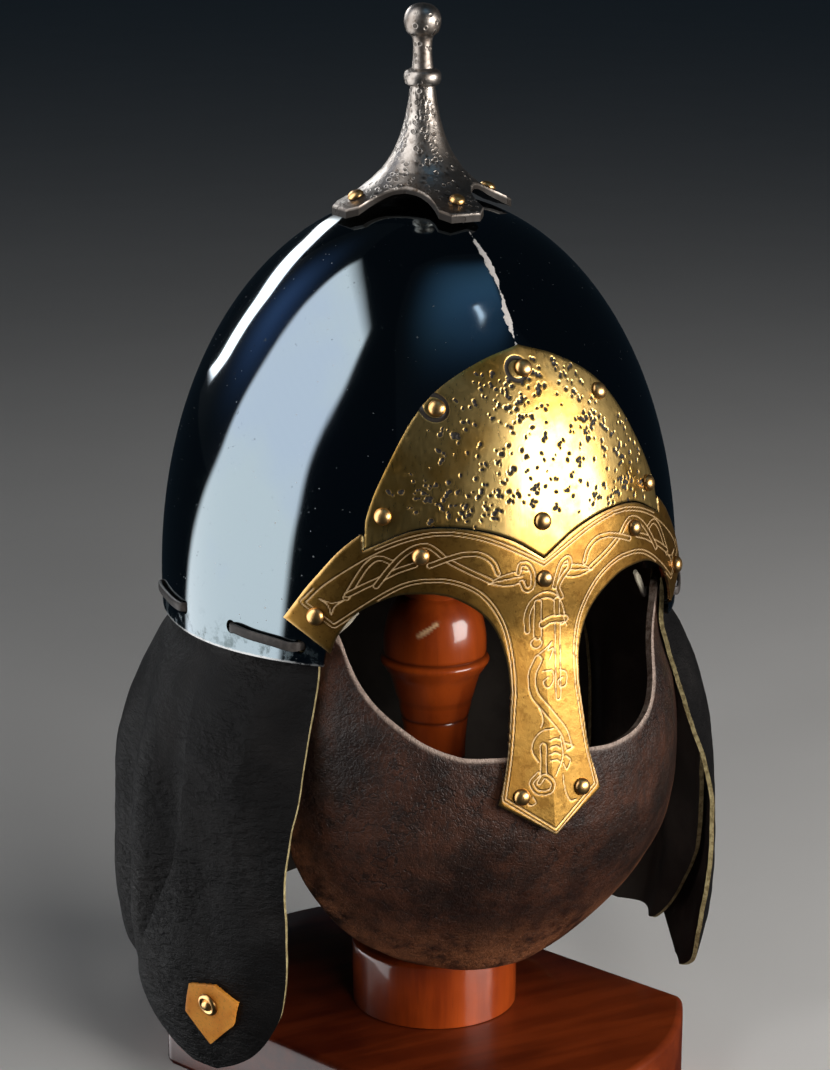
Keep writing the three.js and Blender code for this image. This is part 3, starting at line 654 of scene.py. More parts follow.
class Finish:
    """One material: its nodes are made once, when a piece first wears it."""

    name = "plain"
    made: dict[str, bpy.types.Material] = {}

    def __init__(self) -> None:
        """Starts with no place looked up."""
        self._point: Sock | None = None

    def material(self) -> bpy.types.Material:
        """The material of this name, made at the first call.

        Returns:
            The material.
        """
        if self.name not in self.made:
            material = bpy.data.materials.new(self.name)
            material.use_nodes = True
            self.tree = material.node_tree
            self.tree.nodes.clear()
            self.shader = self.tree.nodes.new("ShaderNodeBsdfPrincipled")
            output = self.tree.nodes.new("ShaderNodeOutputMaterial")
            self.tree.links.new(self.shader.outputs[0], output.inputs[0])
            self.paint()
            self.made[self.name] = material
        return self.made[self.name]

    def paint(self) -> None:
        """Builds the nodes; each finish has its own."""
        raise NotImplementedError

    def node(
        self,
        kind: str,
        settings: dict[str, Any] | None = None,
        inputs: dict[int | str, Any] | None = None,
        output: int | str = 0,
    ) -> Sock:
        """One node.

        Args:
            kind: The node's type, without its ShaderNode prefix.
            settings: Its own settings, set first.
            inputs: Values or links of its sockets.
            output: Which output is wanted.

        Returns:
            The wanted output.
        """
        made = self.tree.nodes.new("ShaderNode" + kind)
        for key, value in (settings or {}).items():
            setattr(made, key, value)
        for key, value in (inputs or {}).items():
            if isinstance(value, Sock):
                self.tree.links.new(value.socket, made.inputs[key])
            else:
                made.inputs[key].default_value = value
        return Sock(self.tree, made.outputs[output])

    def wear(self, **inputs: Any) -> None:
        """Sets the shader's sockets.

        Args:
            inputs: A value or link for each, named with underscores for spaces.
        """
        for key, value in inputs.items():
            socket = self.shader.inputs[key.replace("_", " ")]
            if isinstance(value, Sock):
                self.tree.links.new(value.socket, socket)
            elif isinstance(value, tuple) and len(value) == 3 and socket.type == "RGBA":
                socket.default_value = (*value, 1.0)
            else:
                socket.default_value = value

    def point(self) -> Sock:
        """The place on the piece, in metres.

        Returns:
            The place, looked up once.
        """
        if self._point is None:
            self._point = self.node("TexCoord", output="Object")
        return self._point

    def axes(self) -> tuple[Sock, Sock, Sock]:
        """The place's X, Y and Z."""
        split = self.node("SeparateXYZ", inputs={0: self.point()})
        return tuple(Sock(self.tree, out) for out in split.socket.node.outputs)

    def stretched(self, x: float, y: float, z: float) -> Sock:
        """The place with each axis scaled, for patterns with a run."""
        return self.node("Mapping", inputs={"Vector": self.point(), "Scale": (x, y, z)})

    def mottle(self, scale: float, detail: float = 4.0, rough: float = 0.55, at: Sock | None = None) -> Sock:
        """Noise of about 0 to 1, with no waves finer than show.

        Args:
            scale: Waves to the metre.
            detail: How many finer layers it has.
            rough: How strong the finer layers are.
            at: Where it is read, if not at the place itself.

        Returns:
            The noise.
        """
        octaves = detail if at else min(detail, max(1.0, math.log2(FINEST_WAVES / scale)))
        inputs = {"Vector": at or self.point(), "Scale": scale, "Detail": octaves, "Roughness": rough}
        return self.node("TexNoise", inputs=inputs)

    def cells(self, scale: float, feature: str = "F1") -> Sock:
        """Distance within cells, of which a number goes into the metre."""
        inputs = {"Vector": self.point(), "Scale": scale}
        return self.node("TexVoronoi", {"feature": feature}, inputs, "Distance")

    def specks(self, scale: float, radius: float, share: float) -> Sock:
        """Small round spots in some of the cells of a pattern.

        Args:
            scale: Cells to the metre.
            radius: The largest spot, as a share of a cell.
            share: How many of the cells have a spot.

        Returns:
            1 in a spot, else 0.
        """
        near = self.cells(scale)
        pick = Sock(self.tree, near.socket.node.outputs["Color"])
        draw = self.node("SeparateColor", inputs={0: pick})
        chosen = draw.over(1.0 - share)
        size = Sock(self.tree, draw.socket.node.outputs[1]) * radius
        return (size - near).over(0.0) * chosen

    def ease(self, value: Sock, low: float, high: float) -> Sock:
        """Eased 0 to 1 as a value goes from low to high."""
        settings = {"interpolation_type": "SMOOTHSTEP", "clamp": True}
        return self.node("MapRange", settings, {"Value": value, "From Min": low, "From Max": high})

    def blend(self, share: Sock | float, a: Sock | Colour, b: Sock | Colour) -> Sock:
        """Colour between two."""
        solid = [c if isinstance(c, Sock) else (*c, 1.0) for c in (a, b)]
        return self.node("Mix", {"data_type": "RGBA"}, {0: share, 6: solid[0], 7: solid[1]}, 2)

    def mark(self, name: str) -> Sock:
        """A number that the piece's vertices carry."""
        return self.node("Attribute", {"attribute_name": name}, output="Fac")

    def relief(self, height: Sock, depth: float, below: Sock | None = None) -> Sock:
        """Bump.

        Args:
            height: Heights of 0 to 1.
            depth: What 1 stands for, in millimetres.
            below: The bump that this one lies on.

        Returns:
            The bent normal.
        """
        inputs: dict[int | str, Any] = {"Strength": 1.0, "Distance": depth * MM, "Height": height}
        if below is not None:
            inputs["Normal"] = below
        return self.node("Bump", inputs=inputs)


class BluedSteel(Finish):
    """Mirror-polished blued steel with pale specks, a bare rim and a worn front ridge."""

    name = "blued_steel"
    navy: Colour = (0.160, 0.196, 0.236)
    teal: Colour = (0.172, 0.208, 0.226)
    bare: Colour = (0.34, 0.335, 0.33)
    stain: Colour = (0.060, 0.080, 0.082)
    scuffed: Colour = (0.045, 0.055, 0.065)
    ridge: Colour = (0.52, 0.49, 0.47)
    ridge_top = RIM_HEIGHT + 162.0
    ridge_low = RIM_HEIGHT + 114.0

    def paint(self) -> None:
        """Tints by large noise, then specks, scuffs, bare rim and worn ridge over it."""
        x, y, z = self.axes()
        tint = self.blend(self.ease(self.mottle(16.0, 3.0), 0.38, 0.62), self.navy, self.teal)
        dust = self.specks(210.0, 0.085, 0.36).most(self.specks(520.0, 0.12, 0.22))
        flaw = self.ease(self.mottle(330.0, 5.0, 0.7), 0.64, 0.71)
        cloud = self.ease(self.mottle(38.0, 4.0), 0.46, 0.64)
        scuff = flaw * cloud
        rag = self.mottle(420.0, 4.0, 0.7)
        rim = 1.0 - self.ease(z - rag * 0.0011, (RIM_HEIGHT - 0.2) * MM, (RIM_HEIGHT + 0.5) * MM)
        low = 1.0 - self.ease(z, (RIM_HEIGHT + 2.0) * MM, (RIM_HEIGHT + 15.0) * MM)
        rust = low * self.ease(self.mottle(95.0, 6.0, 0.72), 0.49, 0.63)
        chip = self.mottle(300.0, 5.0, 0.75)
        swell = self.mottle(90.0, 2.0)
        middle = 1.0 - self.ease(abs(z - (RIM_HEIGHT + 136.0) * MM), 0.004, 0.022)
        wander = (self.mottle(110.0, 2.0) - 0.5) * 0.0035
        gap = abs(x + wander) - (chip * 0.0036 + swell * 0.0030 + middle * 0.0008 - 0.0030)
        front = 1.0 - self.ease(y, -0.03, -0.02)
        reach = self.ease(z, self.ridge_low * MM, (self.ridge_low + 5) * MM)
        reach = reach * (1.0 - self.ease(z, (self.ridge_top - 6) * MM, self.ridge_top * MM))
        worn = (1.0 - self.ease(gap, -0.00015, 0.0001)) * front * reach
        colour = self.blend(dust * 0.55, tint, self.bare)
        colour = self.blend(scuff * 0.65, colour, self.scuffed)
        colour = self.blend(rust * 0.70, colour, self.stain)
        colour = self.blend(rim, colour, self.bare)
        colour = self.blend(worn, colour, self.ridge)
        gloss = 0.045 + self.mottle(70.0, 5.0) * 0.035 + dust * 0.3 + scuff * 0.2
        gloss = gloss + rust * 0.28 + worn * 0.5 + rim * 0.2
        wave = self.relief(self.mottle(11.0, 2.0), 0.7)
        peel = self.relief(1.0 - dust.most(worn), 0.05, wave)
        self.wear(Base_Color=colour, Metallic=1.0 - worn * 0.85, Roughness=gloss, Normal=peel)


class ShadedInnerIron(Finish):
    """Unpolished black iron inside of the bowl, painted near-black as the shade in it."""

    name = "inner_iron_painted_shade"
    # Near-black painted shade of the bowl's inside
    scale: Colour = (0.006, 0.006, 0.007)
    brown: Colour = (0.022, 0.015, 0.010)

    def paint(self) -> None:
        """Dull black scale painted near-black as shade, with brown blooms."""
        bloom = self.ease(self.mottle(45.0, 6.0, 0.65), 0.48, 0.70)
        colour = self.blend(bloom, self.scale, self.brown)
        self.wear(Base_Color=colour, Metallic=0.0, Roughness=0.62, Specular_IOR_Level=0.25)


class PittedSteel(Finish):
    """Forged steel with small round pits and brown in its hollows."""

    name = "pitted_steel"
    bright: Colour = (0.47, 0.425, 0.385)
    brown: Colour = (0.105, 0.070, 0.047)
    black: Colour = (0.022, 0.016, 0.012)
    burnished: Colour = (0.56, 0.51, 0.46)

    def paint(self) -> None:
        """Bright skin, brown in clouds, dark pits, and painted shade on the skirt's edge wall and underside.
        """
        z = self.axes()[2]
        # wall marks the skirt's edge wall and underside, which are painted dark as shade
        pit, wall = self.mark("pit"), self.mark("wall")
        grain = self.mottle(480.0, 6.0, 0.74)
        cloud = self.ease(self.mottle(62.0, 6.0, 0.66), 0.36, 0.64)
        # foot makes the skin browner towards the bottom of the spike and over the skirt
        foot = 1.0 - self.ease(z, (RIM_HEIGHT + 160.0) * MM, (RIM_HEIGHT + 190.0) * MM)
        pock = self.cells(330.0)
        crater = 1.0 - self.ease(pock, 0.24, 0.36)
        lip = self.ease(pock, 0.24, 0.33) * (1.0 - self.ease(pock, 0.36, 0.46))
        some = self.ease(self.mottle(55.0, 3.0), 0.42, 0.55)
        crater, lip = crater * some, lip * some
        brown_share = (cloud * 0.55 + foot * 0.25 + self.ease(grain, 0.50, 0.68) * 0.35).math("MINIMUM", 1.0)
        colour = self.blend(brown_share, self.bright, self.brown)
        colour = self.blend(lip * 0.5, colour, self.burnished)
        # Black in the pits, and black painted shade with duller metal on the skirt's wall and underside
        colour = self.blend((crater * 0.55).most(pit * 0.8).most(wall), colour, self.black)
        gloss = 0.24 + cloud * 0.12 + grain * 0.16 + crater * 0.12 + wall * 0.3
        fine = self.relief(grain, 0.07)
        dent = self.relief(1.0 - crater + lip * 0.4, 0.16, fine)
        self.wear(Base_Color=colour, Metallic=1.0 - wall * 0.8, Roughness=gloss, Normal=dent)


class PlateBrass(Finish):
    """Bright brushed brass with dark etched pits."""

    name = "bright_brass"
    pale: Colour = (0.88, 0.60, 0.215)
    deep: Colour = (0.64, 0.35, 0.070)
    black: Colour = (0.012, 0.008, 0.005)
    dull: Colour = (0.36, 0.19, 0.045)
    rimmed: Colour = (0.50, 0.30, 0.09)

    def paint(self) -> None:
        """Brushed gold, tarnish in clouds, and black in the pits."""
        pit, lip = self.mark("pit"), self.mark("lip")
        brushed = self.mottle(1.0, 3.0, 0.6, self.stretched(900.0, 900.0, 38.0))
        cloud = self.ease(self.mottle(34.0, 5.0, 0.6), 0.40, 0.68)
        tarnish = self.ease(self.mottle(120.0, 6.0, 0.7), 0.54, 0.72)
        colour = self.blend(cloud, self.pale, self.deep)
        colour = self.blend(tarnish * 0.45, colour, self.dull)
        colour = self.blend(lip * 0.22, colour, self.rimmed)
        colour = self.blend(self.ease(pit, 0.10, 0.36), colour, self.black)
        gloss = 0.22 + brushed * 0.15 + tarnish * 0.10 + pit * 0.4
        skin = self.relief(brushed, 0.012)
        wave = self.relief(self.mottle(55.0, 3.0), 0.22, skin)
        self.wear(Base_Color=colour, Metallic=1.0 - self.ease(pit, 0.15, 0.4), Roughness=gloss, Normal=wave)


class EngravedBrass(Finish):
    """Patinated brass with engraved lines: a painted highlight in each cut and painted shade beside it."""

    name = "engraved_brass"
    gold: Colour = (0.52, 0.285, 0.066)
    brown: Colour = (0.28, 0.125, 0.022)
    freckle: Colour = (0.17, 0.072, 0.012)
    dot: Colour = (0.10, 0.045, 0.010)
    rubbed: Colour = (0.84, 0.56, 0.24)
    # Painted shade beside the cut lines, and the painted highlight in them
    shadow: Colour = (0.090, 0.040, 0.010)
    cut_highlight: Colour = (0.84, 0.61, 0.35)

    def paint(self) -> None:
        """Mottled patina, burnished near the edges, then painted shade beside each cut line and a painted
        highlight in it.
        """
        cut, lip, edge = self.mark("cut"), self.mark("lip"), self.mark("edge")
        grain = self.mottle(620.0, 6.0, 0.74)
        cloud = self.ease(self.mottle(42.0, 6.0, 0.62), 0.34, 0.66)
        speckle = self.ease(self.mottle(210.0, 7.0, 0.76), 0.48, 0.64)
        dots = self.specks(520.0, 0.22, 0.25)
        colour = self.blend(cloud * 0.75, self.gold, self.brown)
        colour = self.blend(speckle * 0.50, colour, self.freckle)
        colour = self.blend(dots * 0.6, colour, self.dot)
        colour = self.blend(edge * 0.55, colour, self.rubbed)
        # Painted shade along each side of a cut line, then a painted highlight in the cut
        colour = self.blend(lip * 0.80, colour, self.shadow)
        colour = self.blend(self.ease(cut, 0.20, 0.80) * 0.75, colour, self.cut_highlight)
        gloss = 0.24 + cloud * 0.08 + grain * 0.14 + cut * 0.2 - edge * 0.05
        skin = self.relief(grain, 0.045)
        wave = self.relief(self.mottle(60.0, 3.0), 0.16, skin)
        self.wear(Base_Color=colour, Metallic=1.0 - cut * 0.35, Roughness=gloss, Normal=wave)


class RivetBrass(Finish):
    """Polished rivet heads, dark round their seats."""

    name = "rivet_brass"
    pale: Colour = (0.92, 0.57, 0.24)
    deep: Colour = (0.70, 0.36, 0.10)
    grime: Colour = (0.20, 0.105, 0.03)

    def paint(self) -> None:
        """Worn gold, dull in fine clouds and grimy at the seat."""
        crown = self.mark("crown")
        cloud = self.ease(self.mottle(240.0, 4.0), 0.36, 0.66)
        colour = self.blend(cloud * 0.5, self.pale, self.deep)
        colour = self.blend((1.0 - crown) * 0.75, colour, self.grime)
        gloss = 0.27 + self.mottle(700.0, 4.0) * 0.14
        self.wear(Base_Color=colour, Metallic=1.0, Roughness=gloss)


class BrownLeather(Finish):
    """Thick hand-dyed leather: dark patina, red-brown where it is rubbed, pale fibres."""

    name = "brown_leather"
    dark: Colour = (0.0130, 0.0062, 0.0044)
    red: Colour = (0.056, 0.0180, 0.0080)
    ashen: Colour = (0.030, 0.0172, 0.0130)
    cracked: Colour = (0.0080, 0.0042, 0.0032)
    rubbed: Colour = (0.185, 0.068, 0.028)
    fibres: Colour = (0.34, 0.255, 0.21)

    def paint(self) -> None:
        """Three dyes in clouds, dark flecks and veins, a rubbed lower edge and pale fibres at the eyes."""
        cloud = self.ease(self.mottle(26.0, 8.0, 0.76), 0.40, 0.66)
        ash = self.ease(self.mottle(58.0, 8.0, 0.76), 0.44, 0.64)
        vein = 1.0 - self.ease(abs(self.mottle(64.0, 4.0, 0.62) - 0.5), 0.004, 0.022)
        vein = vein * self.ease(self.mottle(24.0, 3.0), 0.46, 0.60)
        fleck = self.ease(self.mottle(1.0, 7.0, 0.76, self.stretched(300.0, 300.0, 130.0)), 0.48, 0.64)
        rub = self.mark("rub")
        colour = self.blend(cloud, self.dark, self.red)
        colour = self.blend(ash * 0.45, colour, self.ashen)
        colour = self.blend((fleck * 0.60).most(vein * 0.75), colour, self.cracked)
        worn = rub * self.ease(self.mottle(85.0, 7.0, 0.72), 0.34, 0.60)
        colour = self.blend(worn * 0.75, colour, self.rubbed)
        fibre = self.ease(self.mottle(330.0, 7.0, 0.74), 0.30, 0.62)
        colour = self.blend(self.mark("raw") * (0.55 + fibre * 0.45), colour, self.fibres)
        cell = self.cells(560.0, "DISTANCE_TO_EDGE")
        grain = 1.0 - self.ease(cell, 0.0, 0.18)
        pores = self.relief(grain, -0.10)
        crease = self.relief(vein, -0.16, pores)
        hide = self.relief(self.mottle(190.0, 8.0, 0.80), 0.95, crease)
        gloss = 0.43 + cloud * 0.10 + fleck * 0.14 - ash * 0.06
        self.wear(Base_Color=colour, Metallic=0.0, Roughness=gloss, Normal=hide, Specular_IOR_Level=0.34)


class RawEdge(Finish):
    """Cut edge of thick leather, fibrous and pale."""

    name = "raw_edge_grey"
    pale: Colour = (0.30, 0.245, 0.205)
    dark: Colour = (0.115, 0.075, 0.055)

    def paint(self) -> None:
        """Pale fibres with dark grime."""
        fibre = self.ease(self.mottle(420.0, 7.0, 0.74), 0.36, 0.62)
        grime = self.ease(self.mottle(90.0, 5.0, 0.66), 0.44, 0.66)
        colour = self.blend(fibre, self.dark, self.pale)
        colour = self.blend(grime * 0.5, colour, self.dark)
        fuzz = self.relief(fibre, 0.16)
        self.wear(Base_Color=colour, Metallic=0.0, Roughness=0.8, Normal=fuzz, Specular_IOR_Level=0.25)


class OliveEdge(RawEdge):
    """Cut edge of the thin black leather, straw-coloured."""

    name = "raw_edge_olive"
    pale: Colour = (0.42, 0.35, 0.18)
    dark: Colour = (0.19, 0.145, 0.065)


class BlackLeather(Finish):
    """Thin black leather with fine creases and a low sheen."""

    name = "black_leather"
    black: Colour = (0.0078, 0.0073, 0.0075)
    worn: Colour = (0.0165, 0.0150, 0.0147)
    furrow: Colour = (0.006, 0.006, 0.006)

    def paint(self) -> None:
        """Pebble grain and creases across the hang, lighter where it is rubbed."""
        pebble = 1.0 - self.ease(self.cells(760.0, "DISTANCE_TO_EDGE"), 0.0, 0.20)
        bend = self.mottle(26.0, 3.0, 0.6)
        lines = self.mottle(1.0, 4.0, 0.66, self.stretched(170.0, 170.0, 430.0))
        crease = self.ease(lines, 0.36, 0.62)
        share = self.ease(bend, 0.36, 0.62)
        rub = self.ease(self.mottle(30.0, 6.0, 0.64), 0.40, 0.70)
        colour = self.blend(rub, self.black, self.worn)
        colour = self.blend(pebble * 0.35, colour, self.furrow)
        grain = self.relief(pebble, -0.06)
        folds = self.relief(crease * (0.25 + share * 0.75), 0.50, grain)
        hang = self.relief(self.mottle(70.0, 4.0), 0.50, folds)
        gloss = 0.43 + self.mottle(55.0, 5.0) * 0.16
        self.wear(Base_Color=colour, Metallic=0.0, Roughness=gloss, Normal=hang, Specular_IOR_Level=0.07)


class FleshSide(Finish):
    """Suede back of the leather."""

    name = "flesh_side"
    dark: Colour = (0.030, 0.026, 0.023)
    pale: Colour = (0.052, 0.044, 0.038)

    def paint(self) -> None:
        """Matt nap in dark grey-brown."""
        nap = self.mottle(520.0, 7.0, 0.75)
        cloud = self.ease(self.mottle(40.0, 5.0), 0.38, 0.64)
        colour = self.blend(cloud, self.dark, self.pale)
        fuzz = self.relief(nap, 0.12)
        self.wear(Base_Color=colour, Metallic=0.0, Roughness=0.9, Normal=fuzz, Specular_IOR_Level=0.15)


class LaceLeather(Finish):
    """Flat lace: dark and waxed, pale where its ends are cut."""

    name = "lace_leather"
    dark: Colour = (0.040, 0.034, 0.031)
    rubbed: Colour = (0.095, 0.082, 0.075)
    frayed: Colour = (0.44, 0.40, 0.31)

    def paint(self) -> None:
        """Dark strap with rubbed edges and frayed pale ends."""
        fray = self.mark("fray")
        rub = self.ease(self.mottle(160.0, 6.0, 0.66), 0.42, 0.68)
        colour = self.blend(rub, self.dark, self.rubbed)
        colour = self.blend(fray, colour, self.frayed)
        grain = self.relief(self.mottle(900.0, 5.0, 0.7), 0.06)
        self.wear(Base_Color=colour, Metallic=0.0, Roughness=0.46, Normal=grain, Specular_IOR_Level=0.25)


class OchreLeather(Finish):
    """Vegetable-tanned patch."""

    name = "ochre_leather"
    bright: Colour = (0.97, 0.41, 0.066)
    deep: Colour = (0.86, 0.31, 0.042)
    pore: Colour = (0.26, 0.10, 0.02)

    def paint(self) -> None:
        """Warm tan with stains and pores."""
        cloud = self.ease(self.mottle(110.0, 6.0, 0.64), 0.38, 0.66)
        pores = self.ease(self.mottle(900.0, 4.0, 0.7), 0.54, 0.70)
        colour = self.blend(cloud, self.bright, self.deep)
        colour = self.blend(pores * 0.35, colour, self.pore)
        grain = self.relief(self.mottle(620.0, 6.0, 0.7), 0.08)
        self.wear(Base_Color=colour, Metallic=0.0, Roughness=0.5, Normal=grain, Specular_IOR_Level=0.2)


class VarnishedWood(Finish):
    """Orange-brown varnished wood whose grain runs along one axis."""

    name = "varnished_wood"
    deep: Colour = (0.17, 0.020, 0.003)
    warm: Colour = (0.46, 0.074, 0.009)
    pored: Colour = (0.07, 0.010, 0.002)
    scored: Colour = (0.05, 0.008, 0.002)
    bare: Colour = (0.78, 0.50, 0.27)
    run: Triple = (1.0, 1.0, 0.10)
    coat: float = 1.0

    def paint(self) -> None:
        """Grain bands and pores under a glossy coat, with a chip and scored rings."""
        sx, sy, sz = self.run
        band = self.mottle(1.0, 5.0, 0.6, self.stretched(95.0 * sx, 95.0 * sy, 95.0 * sz))
        pore = self.mottle(1.0, 6.0, 0.7, self.stretched(1500.0 * sx, 1500.0 * sy, 260.0 * sz))
        cloud = self.ease(self.mottle(13.0, 4.0), 0.32, 0.68)
        share = self.ease(band, 0.36, 0.66) * 0.45 + cloud * 0.55
        colour = self.blend(share, self.deep, self.warm)
        colour = self.blend(self.ease(pore, 0.56, 0.74) * 0.30, colour, self.pored)
        chip = self.mark("chip")
        score = self.mark("score")
        colour = self.blend(score * 0.75, colour, self.scored)
        colour = self.blend(chip, colour, self.bare)
        skin = self.relief(self.mottle(240.0, 4.0), 0.035)
        gloss = 0.30 + chip * 0.4
        self.wear(
            Base_Color=colour,
            Metallic=0.0,
            Roughness=gloss,
            Normal=skin,
            Coat_Weight=(1.0 - chip) * self.coat,
            Coat_Roughness=0.085,
            Coat_IOR=1.42,
            Specular_IOR_Level=0.3,
        )


class BoardWood(VarnishedWood):
    """The same wood with its grain along the base board."""

    name = "varnished_board"
    deep: Colour = (0.050, 0.0055, 0.0015)
    warm: Colour = (0.190, 0.0300, 0.0060)
    run: Triple = (0.12, 1.0, 1.0)
    coat: float = 0.35


class PaleFloor(Finish):
    """Plain pale ground."""

    name = "pale_floor"
    grey: Colour = (0.76, 0.75, 0.74)
    pale: Colour = (0.82, 0.81, 0.80)

    def paint(self) -> None:
        """One pale grey with hardly any cloud in it."""
        self.wear(Base_Color=self.blend(self.mottle(6.0, 3.0), self.grey, self.pale), Roughness=0.9)


class Softbox(Finish):
    """Evenly lit cloth of a studio panel."""

    def __init__(self, name: str, colour: Colour, strength: float, hem: float) -> None:
        """Keeps what makes the panel.

        Args:
            name: The cloth's name.
            colour: Its colour.
            strength: Its radiance.
            hem: The share of its width that fades out.
        """
        super().__init__()
        self.name = name
        self.colour = colour
        self.strength = strength
        self.hem = hem

    def paint(self) -> None:
        """Glow alone, faded at the hem to the air's own."""
        air = tuple(part * AIR_GLOW / self.strength for part in AIR_COLOUR)
        glow = self.blend(self.mark("hem"), air, self.colour)
        black = (0.0, 0.0, 0.0)
        self.wear(Base_Color=black, Roughness=1.0, Emission_Color=glow, Emission_Strength=self.strength)


# The lacing and the steel


# Lace holes round the rim: turn in degrees from the front towards -X, and height
HALF_HOLES: Line = (
    (52.1, 6.9), (70.4, 9.6), (89.3, 9.8), (108.0, 9.8), (128.6, 9.8), (149.2, 9.8), (169.7, 9.8),
)
LACE_HOLES: Line = HALF_HOLES + tuple((360.0 - turn, up) for turn, up in HALF_HOLES[::-1])
HOLE_RADIUS = 2.7


def hole_turn(degrees: float) -> float:
    """A lace hole's turn in radians, from -pi to pi and growing towards +X."""
    return math.radians(-degrees if degrees < 180 else 360 - degrees)


@dataclass
class Skull:
    """The steel bowl with its eye arches and lace holes."""

    wall: float = 1.6
    crisp: float = 40.0
    hole_zone: float = 4.6
    fine_step: float = 0.85
    wide_step: float = 1.75
    band_top: float = 16.0
    crown_rows: int = 76
    weld: float = 2e-6
    eye_facing: float = 0.15
    eye_lip: float = 0.3
    # One eye arch, across and up
    eye_cut: Line = (
        (75.6, -8.0), (75.4, 3.0), (73.0, 13.0), (67.0, 23.6), (56.0, 30.6), (46.3, 32.0),
        (34.8, 30.4), (24.0, 24.0), (17.4, 15.6), (13.4, 4.0), (12.8, -8.0),
    )

    def turns(self) -> Array:
        """Column turns from behind round to behind, close together at the lace holes.

        Returns:
            The turns, rising.
        """
        wanted = np.array([hole_turn(degrees) for degrees, _ in LACE_HOLES])
        turns = [-math.pi]
        while turns[-1] < math.pi:
            near = np.min(np.abs(wanted - turns[-1])) * BOWL.side
            step = self.fine_step if near < self.hole_zone else self.wide_step
            turns.append(turns[-1] + step / BOWL.side)
        found = np.array(turns)
        return -math.pi + (found + math.pi) * (2 * math.pi / (found[-1] + math.pi))

    def heights(self) -> Array:
        """Row heights, close together along the rim and at the crown.

        Returns:
            The heights, rising.
        """
        low = np.arange(0.0, self.band_top, self.fine_step)
        share = np.sin(np.linspace(0.0, 1.0, self.crown_rows) * math.pi / 2)
        return np.concatenate([low, self.band_top + (BOWL.top - self.band_top) * share])

    def build(self) -> None:
        """Shapes the bowl, cuts it, gives it its wall and dresses it."""
        turns, heights = self.turns(), self.heights()
        piece = Bench.grid("bowl_steel", len(turns) - 1, len(heights) - 1)
        column, row = Bench.steps(piece, len(turns) - 1, len(heights) - 1)
        turn, up = turns[column], heights[row]
        quads = Bench.faces(piece)
        dropped = self.cut_holes(turn, up, quads) | self.cut_eyes(turn, up, quads)
        Bench.settle(piece, BOWL.point(turn, up))
        Bench.drop_faces(piece, dropped)
        Bench.weld(piece, self.weld)
        # The bowl's inside wears near-black painted shade
        Bench.dress(piece, self.crisp, BluedSteel(), ShadedInnerIron(), wall=self.wall, back=1)
        Bench.done(piece, Slot.BLUED_STEEL, "skull")

    def cut_holes(self, turn: Array, up: Array, quads: Array) -> Array:
        """Marks the faces in the lace holes, and moves the faces' corners onto the circles.

        Args:
            turn: Column turns of the vertices, changed in place.
            up: Heights of the vertices, changed in place.
            quads: The faces' corners.

        Returns:
            A mark for each face to drop.
        """
        dropped = np.zeros(len(quads), bool)
        for degrees, height in LACE_HOLES:
            centre = hole_turn(degrees)
            girth = float(np.hypot(*BOWL.point(np.array([centre]), np.array([height]))[0, :2]))
            flat = np.stack([(turn - centre) * girth, up - height], axis=-1)
            gone = np.hypot(*flat[quads].mean(axis=1).T) < HOLE_RADIUS
            edge = np.intersect1d(quads[gone], quads[~gone])
            away = np.hypot(*flat[edge].T)
            flat[edge] *= (HOLE_RADIUS / np.maximum(away, TINY))[:, None]
            turn[edge] = centre + flat[edge, 0] / girth
            up[edge] = height + flat[edge, 1]
            dropped |= gone
        return dropped

    def cut_eyes(self, turn: Array, up: Array, quads: Array) -> Array:
        """Marks the faces in the eye arches, and moves the faces' corners onto the arches.

        Args:
            turn: Column turns of the vertices, changed in place.
            up: Heights of the vertices, changed in place.
            quads: The faces' corners.

        Returns:
            A mark for each face to drop.
        """
        arch = curve_through(self.eye_cut, 1.0)
        outline = np.vstack([arch, [arch[0]]])
        flat = BOWL.point(turn, up)[:, [0, 2]]
        mirror = np.abs(flat) * [1.0, 0.0] + flat * [0.0, 1.0]
        facing = np.cos(turn) > self.eye_facing
        gone = inside(mirror[quads].mean(axis=1), outline) & facing[quads].all(axis=1)
        edge = np.intersect1d(quads[gone], quads[~gone])
        near = line_distance(mirror[edge], arch)[1]
        on_rim = up[edge] < TINY
        near[:, 1] = np.where(on_rim, 0.0, np.maximum(near[:, 1], self.eye_lip))
        up[edge] = near[:, 1]
        turn[edge] = BOWL.turn_of(near[:, 0] * np.sign(flat[edge, 0]), near[:, 1])
        return gone


